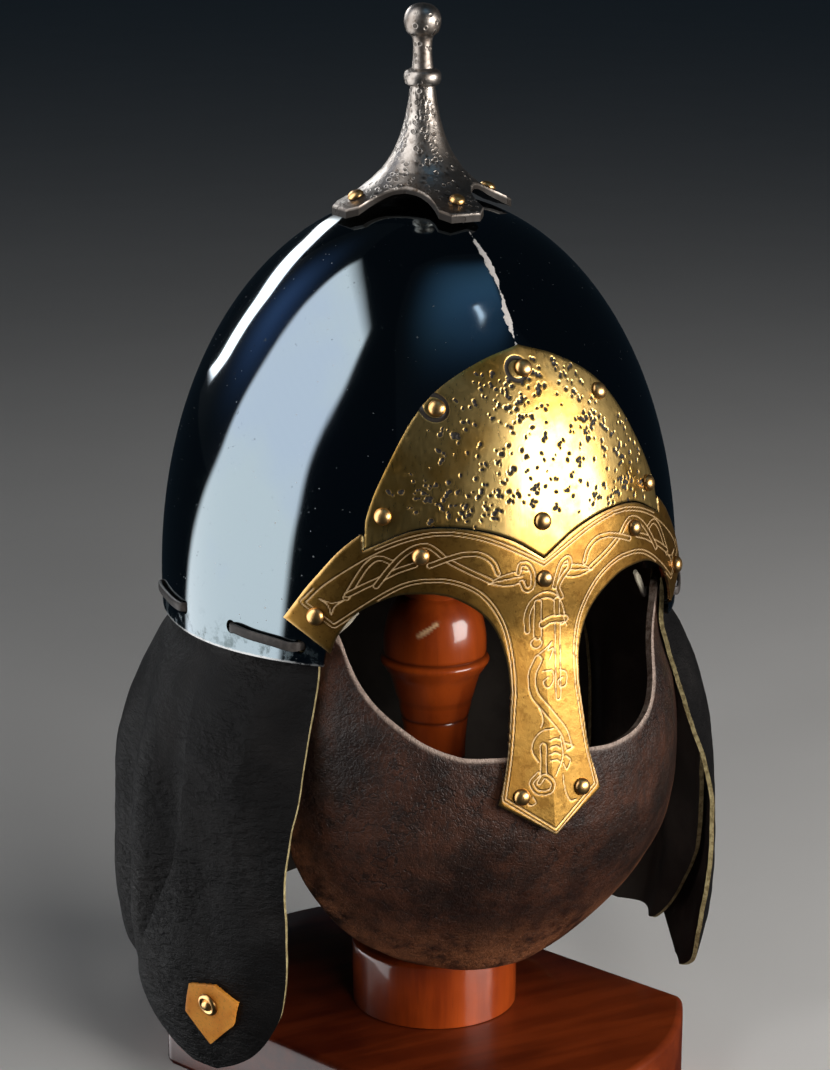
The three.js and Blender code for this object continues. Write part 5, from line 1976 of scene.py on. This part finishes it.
@dataclass
class Aventail:
    """Black leather panels hung inside the rim."""

    wall: float = 1.8
    crisp: float = 45.0
    step: float = 1.5
    mean_radius: float = 120.0
    row_bias: float = 1.12
    back_depth: float = 7.0
    side_depth: float = 4.7
    lappet_depth: float = 2.4
    back_flat: Point = (0.29, 0.176)
    side_flat: Point = (0.108, 0.176)
    lappet_flat: Point = (0.085, 0.186)
    inset: float = 0.15
    free_from: Point = (2.0, 14.0)
    slack_from: Point = (6.0, 50.0)
    # Depth, squash along the height and size of the small wrinkles, and of the slow sway
    wrinkles: Rows = ((0.30, 2.0, 17.0), (0.10, 2.4, 8.0))
    sway: Triple = (0.9, 0.8, 60.0)
    sway_seed: float = 5.0
    fold_start: float = 4.0
    fold_full: float = 70.0
    belly_from: float = 48.0
    belly_to: float = 63.0
    # Height, and how far out the leather hangs at the lappets' front edge and further round
    flare: Rows = (
        (-170.0, 10.0, 12.5), (-150.0, 14.0, 18.0), (-135.0, 17.5, 21.0), (-118.0, 20.5, 22.5),
        (-100.0, 22.5, 22.0), (-84.0, 22.5, 21.5), (-63.0, 19.0, 20.5), (-49.0, 14.5, 18.5),
        (-30.0, 8.0, 13.5), (-15.0, 3.0, 7.0), (-1.5, 0.0, 0.0), (14.0, 0.0, 0.0),
    )
    # Height, and the turns in degrees of a panel's two edges
    lappet_rows: Rows = (
        (-170.0, 71.0, 78.0), (-165.0, 65.5, 85.0), (-157.0, 59.5, 90.5), (-147.0, 55.4, 92.5),
        (-135.0, 52.4, 91.0), (-118.0, 50.8, 86.0), (-100.0, 50.3, 81.0), (-84.0, 50.6, 77.0),
        (-63.0, 50.0, 75.0), (-49.0, 49.2, 75.5), (-30.0, 49.1, 77.5), (-15.0, 48.7, 79.0),
        (-1.5, 48.4, 80.0), (14.0, 48.4, 80.0),
    )
    side_rows: Rows = (
        (-160.0, 88.0, 101.0), (-156.0, 83.0, 107.5), (-148.0, 79.0, 113.5), (-136.0, 76.0, 119.0),
        (-122.0, 73.0, 123.0), (-105.0, 69.5, 124.0), (-84.0, 67.0, 123.0), (-63.0, 66.5, 122.0),
        (-49.0, 66.5, 121.0), (-30.0, 68.5, 120.0), (-15.0, 73.0, 119.5), (-1.5, 75.0, 119.0),
        (14.0, 75.0, 119.0),
    )
    back_rows: Rows = (
        (-161.0, 133.0, 227.0), (-155.0, 125.0, 235.0), (-145.0, 119.0, 241.0), (-130.0, 115.0, 245.0),
        (-108.0, 113.0, 247.0), (-84.0, 112.0, 248.0), (-49.0, 112.0, 248.0), (-30.0, 112.5, 247.5),
        (-15.0, 113.0, 247.0), (14.0, 113.0, 247.0),
    )
    # Turn in degrees, and how far out the fold stands there
    lappet_folds: Line = ((48.0, 0.0), (66.0, 0.0), (78.0, 2.2), (92.0, 3.6))
    side_folds: Line = (
        (72.0, -1.0), (83.0, -6.4), (95.5, 3.2), (104.5, -4.8), (116.0, 5.4), (125.0, 3.5),
    )
    back_half: Line = (
        (110.0, -1.0), (128.0, 3.4), (141.0, -3.4), (154.0, 3.4), (167.0, -3.2), (180.0, 3.2),
    )

    def cuts(self) -> list[PanelCut]:
        """The five panels.

        Returns:
            What each is cut and hung by.
        """
        folds = self.back_half + tuple((360.0 - turn, out) for turn, out in self.back_half[-2::-1])
        behind = (self.back_rows, folds, self.back_depth, Side.LEFT, self.back_flat, 5.0)
        cuts = [PanelCut("back_panel", *behind)]
        for side in Side:
            word, seed = side.name.lower(), 11.0 + side.value
            lappet = (self.lappet_rows, self.lappet_folds, self.lappet_depth, side, self.lappet_flat, seed)
            beside = (self.side_rows, self.side_folds, self.side_depth, side, self.side_flat, seed + 9)
            cuts.append(PanelCut("lappet_" + word, *lappet))
            cuts.append(PanelCut("side_panel_" + word, *beside))
        return cuts

    def face(self, cut: PanelCut, degrees: Array, up: Array, out: Array | float = 0.0) -> Array:
        """Points of a panel's face.

        Args:
            cut: The panel.
            degrees: Turns from the front towards the panel's own side.
            up: Heights.
            out: How far outside the face.

        Returns:
            One row of x, y and height each.
        """
        turn = np.radians(degrees) * cut.side.value
        rim = BOWL.point(turn, np.maximum(up, 0.0))
        radius = np.hypot(rim[:, 0], rim[:, 1])
        table = np.array(self.flare)
        edge = eased(table[:, 0], table[:, 1], up)
        belly = eased(table[:, 0], table[:, 2], up)
        flare = edge + (belly - edge) * smoothstep(degrees, self.belly_from, self.belly_to)
        folds = np.array(cut.folds)
        fold = eased(folds[:, 0], folds[:, 1], degrees) * smoothstep(-up, self.fold_start, self.fold_full)
        grown = radius - cut.depth + flare + fold + out
        return np.stack([rim[:, 0] / radius * grown, rim[:, 1] / radius * grown, up], axis=-1)

    def build(self) -> None:
        """Makes the five panels, each a sheet cut flat and hung."""
        for cut in self.cuts():
            self.panel(cut)

    def panel(self, cut: PanelCut) -> None:
        """One panel.

        Args:
            cut: What it is cut and hung by.
        """
        table = np.array(cut.rows)
        low, high = table[0, 0], table[-1, 0]
        widest = float((table[:, 2] - table[:, 1]).max())
        columns = int(math.radians(widest) * self.mean_radius / self.step)
        piece = Bench.grid(cut.node + "_leather", columns, int((high - low) / self.step))
        across, share = Bench.shares(piece)
        bias = self.row_bias if cut.depth < self.back_depth else 1.0
        up = low + (high - low) * share**bias
        start = eased(table[:, 0], table[:, 1], up)
        end = eased(table[:, 0], table[:, 2], up)
        degrees = start + (end - start) * across
        out = self.creases(self.face(cut, degrees, up), cut.seed) - self.inset
        points = self.face(cut, degrees, up, out)
        gap = self.hole_gap(cut, degrees, up, np.hypot(points[:, 0], points[:, 1]))
        gone = gap[Bench.faces(piece)].mean(axis=1) < 0.0
        Bench.settle(piece, points)
        if cut.side is Side.LEFT:
            Bench.flip(piece)
        if gone.any():
            Bench.drop_faces(piece, gone)
        finishes = (BlackLeather(), OliveEdge(), FleshSide())
        Bench.dress(piece, self.crisp, *finishes, wall=self.wall, back=2, rim=1)
        Bench.done(piece, Slot.BLACK_LEATHER, cut.node)

    def creases(self, flat: Array, seed: float) -> Array:
        """Small wrinkles and a slow sway, both fading out towards the rim.

        Args:
            flat: Points of the even face.
            seed: Where the panel's own noise starts.

        Returns:
            How far out each point is pushed.
        """
        free = smoothstep(-flat[:, 2], *self.free_from)
        slack = smoothstep(-flat[:, 2], *self.slack_from)
        small = np.zeros(len(flat))
        for step, (depth, squash, size) in enumerate(self.wrinkles):
            small += depth * noise_at(flat * [1.0, 1.0, squash], size, seed + 2 * step)
        depth, squash, size = self.sway
        slow = depth * noise_at(flat * [1.0, 1.0, squash], size, self.sway_seed)
        return small * free + slow * slack

    def hole_gap(self, cut: PanelCut, degrees: Array, up: Array, girth: Array) -> Array:
        """How far places on a panel are from the lace holes.

        Args:
            cut: The panel.
            degrees: Turns from the front towards the panel's own side.
            up: Heights.
            girth: Distances from the axis.

        Returns:
            Distances to the holes' edges, negative inside.
        """
        gap = np.full(len(up), np.inf)
        own = degrees if cut.side is Side.LEFT else 360.0 - degrees
        for turn, height in LACE_HOLES:
            away = np.hypot(np.radians(own - turn) * girth, up - height)
            gap = np.minimum(gap, away - HOLE_RADIUS)
        return gap


@dataclass
class Lace:
    """Flat lace in running stitch through rim and leather."""

    half_wide: float = 1.8
    half_thick: float = 0.72
    outside: float = 1.45
    inside: float = -11.2
    sides: int = 16
    step: float = 0.8
    bend: float = 2.4
    pinch: float = 0.6
    slope: float = 0.5
    tail: Line = ((11.0, 12.0), (7.0, 6.0))
    taper_end: float = 0.01
    fray_end: Point = (0.008, 0.024)
    corner: float = 0.55
    taper: float = 0.55
    crisp: float = 50.0

    def route(self) -> Array:
        """The lace's way in and out of the holes.

        Returns:
            Turn in degrees, lift off the bowl and height, one row each.
        """
        first, last = LACE_HOLES[0], LACE_HOLES[-1]
        path = [(first[0] - turn, self.inside, first[1] + up) for turn, up in self.tail]
        for i, (turn, up) in enumerate(LACE_HOLES):
            before, after = (self.inside, self.outside) if i % 2 == 0 else (self.outside, self.inside)
            way, quarter = math.copysign(self.slope, after - before), (after - before) * 0.25
            path += [(turn - self.bend, before, up), (turn - self.pinch, before + way, up)]
            path += [(turn, before + quarter, up), (turn, after - quarter, up)]
            path += [(turn + self.pinch, after - way, up), (turn + self.bend, after, up)]
            if i + 1 < len(LACE_HOLES):
                far, high = LACE_HOLES[i + 1]
                path.append(((2 * turn + far) / 3, after, (2 * up + high) / 3))
                path.append(((turn + 2 * far) / 3, after, (up + 2 * high) / 3))
        path += [(last[0] + turn, self.inside, last[1] + up) for turn, up in self.tail[::-1]]
        return np.array(path)

    def squared(self, wave: Array) -> Array:
        """A wave of -1 to 1 with squarer corners, for the lace's flat section."""
        return np.sign(wave) * np.abs(wave) ** self.corner

    def build(self) -> None:
        """Sweeps the lace's flat section along its route and dresses it."""
        rows = self.route()
        on_bowl = BOWL.point(np.radians(-rows[:, 0]), rows[:, 2])
        outward = on_bowl * [1.0, 1.0, 0.0]
        outward /= np.linalg.norm(outward, axis=1)[:, None]
        line = curve_through(on_bowl + outward * rows[:, 1:2], self.step)
        heading = np.gradient(line, axis=0)
        heading /= np.linalg.norm(heading, axis=1)[:, None]
        flat = np.cross([0.0, 0.0, 1.0], heading)
        flat /= np.linalg.norm(flat, axis=1)[:, None]
        wide = np.cross(heading, flat)
        last = len(line) - 1
        piece = Bench.grid("lace_leather", self.sides, last)
        angle = (Bench.places(piece)[:, 0] + 1) * math.pi
        row = Bench.steps(piece, self.sides, last)[1]
        from_end = np.minimum(row / last, 1 - row / last)
        width = self.taper + (1.0 - self.taper) * smoothstep(from_end, 0.0, self.taper_end)
        points = line[row] + wide[row] * (self.half_wide * width * self.squared(np.cos(angle)))[:, None]
        points = points + flat[row] * (self.half_thick * self.squared(np.sin(angle)))[:, None]
        Bench.settle(piece, points)
        Bench.mark(piece, "fray", 1.0 - smoothstep(from_end, *self.fray_end))
        Bench.weld(piece)
        self.cap(piece)
        Bench.dress(piece, self.crisp, LaceLeather())
        Bench.done(piece, Slot.BLACK_LEATHER, "lace")

    def cap(self, piece: Piece) -> None:
        """Closes the two cut ends.

        Args:
            piece: The lace.
        """
        with Bench.editing(piece):
            bpy.ops.mesh.select_mode(type="EDGE")
            bpy.ops.mesh.select_all(action="DESELECT")
            bpy.ops.mesh.select_non_manifold()
            bpy.ops.mesh.edge_face_add()
            bpy.ops.mesh.select_all(action="SELECT")
            bpy.ops.mesh.normals_make_consistent(inside=False)


@dataclass
class Closure:
    """Ochre patch with its stud, on the lappet at -X."""

    aventail: Aventail
    wall: float = 2.1
    gap: float = 0.45
    step: float = 0.8
    per_degree: float = 2.1
    soft_depth: float = 0.3
    soft_width: float = 1.4
    crisp: float = 45.0
    # The patch's corners and the stud's middle: turn in degrees and height
    outline: Line = (
        (72.0, -130.6), (65.8, -127.8), (60.4, -133.2), (62.1, -143.6), (69.5, -156.8), (74.3, -144.2),
    )
    stud: Point = (67.3, -136.2)
    stud_radius: float = 4.6
    stud_height: float = 2.6
    stud_lift: float = 0.25
    stud_lean: float = -0.22
    stud_crisp: float = 50.0
    stud_steps: int = 40
    # Half the stud's section, as shares of its radius and height
    stud_section: Line = (
        (0.0, 0.0), (1.0, 0.0), (1.02, 0.25), (0.92, 0.52), (0.74, 0.62), (0.60, 0.50), (0.50, 0.46),
        (0.44, 0.72), (0.30, 0.92), (0.12, 1.0), (0.0, 1.0),
    )

    def build(self) -> None:
        """Makes the patch and the stud."""
        cut = next(c for c in self.aventail.cuts() if c.node == "lappet_left")
        self.patch(cut)
        self.build_stud(cut)

    def patch(self, cut: PanelCut) -> None:
        """The patch, cut flat and laid on the lappet.

        Args:
            cut: The lappet.
        """
        middle, scale = np.array(self.stud), np.array([self.per_degree, 1.0])
        flat = (np.array(self.outline) - middle) * scale
        line = np.vstack([curve_through([a, b], 1.0)[:-1] for a, b in zip(flat, np.roll(flat, -1, axis=0))])
        piece = cut_flat("closure_patch_leather", line, [tuple(p) for p in flat], self.step)
        at = Bench.places(piece)[:, :2]
        edge = line_distance(at, line, closed=True)[0]
        place = at / scale + middle
        soft = self.soft_depth * np.clip(1.0 - edge / self.soft_width, 0.0, 1.0) ** 2
        Bench.settle(piece, self.aventail.face(cut, place[:, 0], place[:, 1], self.gap + self.wall - soft))
        Bench.flip(piece)
        Bench.weld(piece, outward=False)
        self.face_out(piece)
        Bench.dress(piece, self.crisp, OchreLeather(), wall=self.wall)
        Bench.done(piece, Slot.OCHRE_LEATHER, "closure_patch")

    def face_out(self, piece: Piece) -> None:
        """Turns the sheet round if its faces look towards the axis.

        Args:
            piece: The sheet.
        """
        face = piece.data.polygons[len(piece.data.polygons) // 2]
        if face.normal.xy.dot(face.center.xy) < 0:
            Bench.flip(piece)

    def build_stud(self, cut: PanelCut) -> None:
        """The stud: a dished brass cap with a raised rim and a small centre boss.

        Args:
            cut: The lappet.
        """
        section = np.array(self.stud_section)
        line = np.vstack([section[:2], curve_through(section[1:], 0.06)[1:]])
        line = line * [self.stud_radius, self.stud_height]
        piece = Bench.spun("closure_stud_brass", line, self.stud_steps)
        at = self.aventail.face(cut, np.array([self.stud[0]]), np.array([self.stud[1]]))[0]
        way = Vector((at[0], at[1], 0.0)).normalized()
        way = (way + Vector((0.0, 0.0, self.stud_lean))).normalized()
        seat = Vector(at) + way * (self.gap + self.wall + self.stud_lift)
        lean = way.to_track_quat("Z", "Y").to_matrix().to_4x4()
        Bench.mark(piece, "crown", smoothstep(Bench.places(piece)[:, 2] / MM, 0.5, 1.6))
        place = Matrix.Translation((seat + Vector((0.0, 0.0, RIM_HEIGHT))) * MM)
        piece.data.transform(place @ lean)
        Bench.dress(piece, self.stud_crisp, RivetBrass())
        Bench.done(piece, Slot.BRIGHT_BRASS, "closure_stud")


# The stand and the studio


@dataclass
class Stand:
    """Turned post on an arched board."""

    post_x: float = 4.6
    post_y: float = -2.4
    half_width: float = 73.0
    front_radius: float = 110.0
    back_radius: float = 108.0
    thick: float = 31.7
    edge: float = 3.0
    edge_steps: int = 5
    edge_angle: float = math.radians(40.0)
    arc_steps: int = 40
    turn: float = math.radians(21.0)
    post_crisp: float = 40.0
    post_steps: int = 100
    board_crisp: float = 30.0
    # The post's profile from the board up: radius and height
    drum: Line = (
        (34.4, -174.9), (34.6, -162.0), (34.6, -150.0), (34.2, -148.0), (33.0, -146.8), (30.0, -145.9),
    )
    foot: Line = (
        (27.0, -145.4), (20.0, -142.0), (16.0, -134.0), (13.6, -105.0), (12.6, -70.0), (13.4, -54.0),
        (15.3, -43.6),
    )
    bulb: Line = ((15.8, -42.0), (18.4, -33.0), (21.2, -28.4), (22.4, -26.0), (21.4, -23.8))
    cap: Line = ((21.2, -23.4), (21.0, -15.0), (19.0, -6.0), (15.6, 0.0), (13.4, 2.0))
    stem: Line = (
        (14.2, 5.0), (13.0, 40.0), (13.0, 128.0), (21.0, 140.0), (23.5, 149.0), (20.0, 155.4), (12.0, 159.4),
        (0.0, 161.2),
    )
    scored: tuple[float, ...] = (-42.8, -23.6, -50.5, 3.4)
    score_depth: float = 0.5
    score_width: float = 0.55
    stain_width: float = 0.7
    chip_turn: float = -0.62
    chip_up: float = -8.5
    chip_slant: float = 13.2
    chip_half: Point = (5.2, 1.15)
    chip_radius: float = 20.0

    def build(self) -> None:
        """Makes the post and the board."""
        self.post()
        self.board()

    def post(self) -> None:
        """The post, spun from its profile, with its chip and scored rings marked."""
        parts = [curve_through(p, 0.8) for p in (self.drum, self.foot, self.bulb, self.cap)]
        profile = np.vstack([[(0.0, self.drum[0][1])], *parts, curve_through(self.stem, 3.0)])
        for ring in self.scored:
            near = np.exp(-(((profile[:, 1] - ring) / self.score_width) ** 2))
            profile[:, 0] -= self.score_depth * near * (profile[:, 0] > 10.0)
        piece = Bench.spun("post_wood", profile + [0.0, RIM_HEIGHT], self.post_steps)
        at = Bench.places(piece) / MM
        up = at[:, 2] - RIM_HEIGHT
        score = np.max([np.exp(-(((up - ring) / self.stain_width) ** 2)) for ring in self.scored], axis=0)
        aside = np.arctan2(at[:, 0], -at[:, 1]) - self.chip_turn
        along = aside * self.chip_radius / self.chip_half[0]
        slant = (up - self.chip_up - self.chip_slant * aside) / self.chip_half[1]
        chip = np.clip(1.0 - along**2, 0, 1) * np.clip(1.0 - slant**2, 0, 1)
        Bench.mark(piece, "score", score)
        Bench.mark(piece, "chip", smoothstep(chip, 0.05, 0.5))
        Bench.place(piece, (at + [self.post_x, self.post_y, 0.0]) * MM)
        Bench.dress(piece, self.post_crisp, VarnishedWood())
        Bench.done(piece, Slot.VARNISHED_WOOD, "stand_post")

    def plan(self) -> Array:
        """Outline of the board: two straight sides and two arched ends.

        Returns:
            The outline's points, once round.
        """
        front = math.acos(self.half_width / self.front_radius)
        back = math.acos(self.half_width / self.back_radius)
        low = np.linspace(math.pi + front, 2 * math.pi - front, self.arc_steps)
        high = np.linspace(back, math.pi - back, self.arc_steps)
        arcs = [(self.front_radius, low), (self.back_radius, high)]
        return np.vstack([np.stack([r * np.cos(a), r * np.sin(a)], axis=-1) for r, a in arcs])

    def board(self) -> None:
        """The board: a filled outline, extruded, with rounded edges."""
        outline = self.plan()
        Bench.clear()
        bpy.ops.mesh.primitive_circle_add(vertices=len(outline), radius=1.0, fill_type="NGON")
        piece = bpy.context.object
        piece.name = "base_wood"
        Bench.place(piece, np.column_stack([outline, np.zeros(len(outline))]) * MM)
        with Bench.editing(piece):
            bpy.ops.mesh.extrude_region_move(TRANSFORM_OT_translate={"value": (0, 0, self.thick * MM)})
            bpy.ops.mesh.select_all(action="SELECT")
            bpy.ops.mesh.normals_make_consistent(inside=False)
        rounding = piece.modifiers.new("Rounding", "BEVEL")
        rounding.width = self.edge * MM
        rounding.segments = self.edge_steps
        rounding.limit_method = "ANGLE"
        rounding.angle_limit = self.edge_angle
        bpy.ops.object.modifier_apply(modifier=rounding.name)
        for name in ("score", "chip"):
            Bench.mark(piece, name, np.zeros(len(piece.data.vertices)))
        piece.data.transform(Matrix.Rotation(self.turn, 4, "Z"))
        Bench.dress(piece, self.board_crisp, BoardWood())
        Bench.done(piece, Slot.VARNISHED_WOOD, "stand_base")


@dataclass(frozen=True)
class Lamp:
    """A softbox that looks at the helmet: where it stands in degrees, its sizes, and its light."""

    name: str
    turn: float
    rise: float
    reach: float
    wide: float
    tall: float
    glow: float
    colour: Colour
    mirrored: bool


@dataclass
class Studio:
    """Pale floor, soft light and the camera."""

    camera_at: Triple = (-477.0, -928.1, 511.3)
    aim: Triple = (-2.66, 1.19, 232.87)
    lens: float = 90.0
    sensor: float = 36.0
    clip: Point = (0.01, 100.0)
    heart: Triple = (0.0, 0.0, 290.0)
    floor_size: float = 40.0
    near_reach: float = 1500.0
    far_reach: float = 1800.0
    patch_steps: int = 32
    hem_power: float = 1.6
    lamps: tuple[Lamp, ...] = (
        Lamp("key", 37.0, 6.0, 1350.0, 1020.0, 540.0, 12.0, (1.0, 0.97, 0.93), True),
        Lamp("front_fill", -8.0, 20.0, 1600.0, 420.0, 420.0, 13.0, (1.0, 0.97, 0.93), False),
        Lamp("left_fill", -72.0, 30.0, 1500.0, 500.0, 500.0, 14.0, (1.0, 0.98, 0.96), False),
    )
    # Turn and rise along each lit patch's two borders, in degrees
    panel: Borders = (
        ((-63.0, 55.0), (-65.0, 35.0), (-73.0, 17.0), (-76.0, 1.0), (-80.0, -16.0), (-98.0, -40.0)),
        ((-140.0, 66.0), (-128.0, 46.0), (-126.0, 28.0), (-131.0, 8.0), (-148.0, -12.0), (-166.0, -38.0)),
    )
    strip: Borders = (
        ((163.0, 9.0), (177.0, 18.0), (191.0, 16.0), (194.0, 8.0), (189.0, 2.0)),
        ((169.0, 25.0), (185.0, 30.0), (202.0, 25.0), (204.0, 13.5), (198.0, 4.0)),
    )
    crown: Borders = (
        ((-60.0, 84.0), (-48.0, 70.0), (-44.0, 52.0), (-40.0, 38.0), (-36.0, 22.0)),
        ((100.0, 84.0), (78.0, 70.0), (68.0, 52.0), (62.0, 38.0), (56.0, 22.0)),
    )
    spot: Borders = (
        ((5.0, 62.0), (5.6, 58.5), (6.2, 55.0)),
        ((8.0, 62.0), (8.2, 58.5), (8.4, 55.0)),
    )
    dusk: Borders = (
        ((-118.0, 60.0), (-116.0, 40.0), (-116.0, 20.0), (-122.0, 0.0)),
        ((-196.0, 62.0), (-172.0, 42.0), (-166.0, 20.0), (-170.0, 0.0)),
    )

    def build(self) -> None:
        """Sets the whole stage."""
        self.floor()
        near, far = self.near_reach, self.far_reach
        self.patch("studio_panel", self.panel, Softbox("panel_cloth", (0.97, 0.985, 1.0), 2.7, 0.05), near)
        self.patch("studio_strip", self.strip, Softbox("strip_cloth", (0.95, 0.98, 1.0), 7.0, 0.10), near)
        self.patch("studio_spot", self.spot, Softbox("spot_cloth", (0.85, 0.95, 1.0), 3.4, 0.2), near)
        self.patch("studio_crown", self.crown, Softbox("crown_cloth", (0.26, 0.62, 1.0), 0.36, 0.5), far)
        self.patch("studio_dusk", self.dusk, Softbox("dusk_cloth", (0.24, 0.47, 1.0), 0.36, 0.5), far)
        for lamp in self.lamps:
            self.light(lamp)
        self.camera()
        self.air()

    def floor(self) -> None:
        """A wide pale floor, which the polished steel doesn't mirror."""
        Bench.clear()
        bpy.ops.mesh.primitive_grid_add(x_subdivisions=8, y_subdivisions=8, size=self.floor_size)
        piece = bpy.context.object
        piece.name = "studio_floor"
        piece.data.materials.append(PaleFloor().material())
        piece.visible_glossy = False

    def way(self, turn: float, rise: float) -> Vector:
        """Direction from its turn and rise in degrees."""
        a, e = math.radians(turn), math.radians(rise)
        return Vector((math.sin(a) * math.cos(e), -math.cos(a) * math.cos(e), math.sin(e)))

    def patch(self, name: str, borders: Borders, glow: Softbox, reach: float) -> None:
        """Curved panel round the helmet, whose image the steel shows.

        Args:
            name: Its name.
            borders: Turn and rise along its two borders, in degrees.
            glow: Its cloth.
            reach: Its distance.
        """
        piece = Bench.grid(name, self.patch_steps, self.patch_steps)
        at = Bench.places(piece)
        across, down = (at[:, 0] + 1) / 2, (1 - at[:, 1]) / 2
        ends = []
        for border in borders:
            line = np.array(border)
            keys = np.linspace(0.0, 1.0, len(line))
            turns, rises = eased(keys, line[:, 0], down), eased(keys, line[:, 1], down)
            ends.append([self.way(turn, rise) for turn, rise in zip(turns, rises)])
        points = [Vector(self.heart) + a.lerp(b, u).normalized() * reach for a, b, u in zip(*ends, across)]
        Bench.place(piece, np.array(points) * MM)
        lit = [smoothstep(np.minimum(way, 1 - way), 0.0, glow.hem) for way in (across, down)]
        Bench.mark(piece, "hem", (lit[0] * lit[1]) ** self.hem_power)
        piece.data.materials.append(glow.material())
        piece.visible_camera = False
        piece.visible_diffuse = False

    def light(self, lamp: Lamp) -> None:
        """Hangs one softbox.

        Args:
            lamp: The softbox.
        """
        data = bpy.data.lights.new(lamp.name, "AREA")
        data.shape = "RECTANGLE"
        data.size = lamp.wide * MM
        data.size_y = lamp.tall * MM
        data.energy = lamp.glow * math.pi * lamp.wide * lamp.tall * MM * MM
        data.color = lamp.colour
        piece = Bench.add(lamp.name, data)
        way = self.way(lamp.turn, lamp.rise)
        piece.location = (Vector(self.heart) + way * lamp.reach) * MM
        piece.rotation_euler = way.to_track_quat("Z", "Y").to_euler()
        piece.visible_camera = False
        piece.visible_glossy = lamp.mirrored

    def camera(self) -> None:
        """The camera at the photograph's place."""
        data = bpy.data.cameras.new("view")
        data.lens = self.lens
        data.sensor_width = self.sensor
        data.clip_start, data.clip_end = self.clip
        seat = Bench.add("view", data)
        seat.location = Vector(self.camera_at) * MM
        away = Vector(self.camera_at) - Vector(self.aim)
        seat.rotation_euler = away.to_track_quat("Z", "Y").to_euler()
        bpy.context.scene.camera = seat

    def air(self) -> None:
        """Dim even light from all round, and plain picture colours."""
        world = bpy.data.worlds.new("studio")
        world.use_nodes = True
        ground = world.node_tree.nodes["Background"]
        ground.inputs["Color"].default_value = (*AIR_COLOUR, 1.0)
        ground.inputs["Strength"].default_value = AIR_GLOW
        bpy.context.scene.world = world
        bpy.context.scene.view_settings.view_transform = "Standard"


def main() -> None:
    """Builds every piece in order."""
    logging.basicConfig(level=logging.INFO, format="%(message)s")
    Studio().build()
    Skull().build()
    Finial().build()
    BrassPlates().build()
    Rivets().build()
    FaceMask().build()
    aventail = Aventail()
    aventail.build()
    Lace().build()
    Closure(aventail).build()
    Stand().build()
    Bench.clear()


if __name__ == "__main__":
    main()
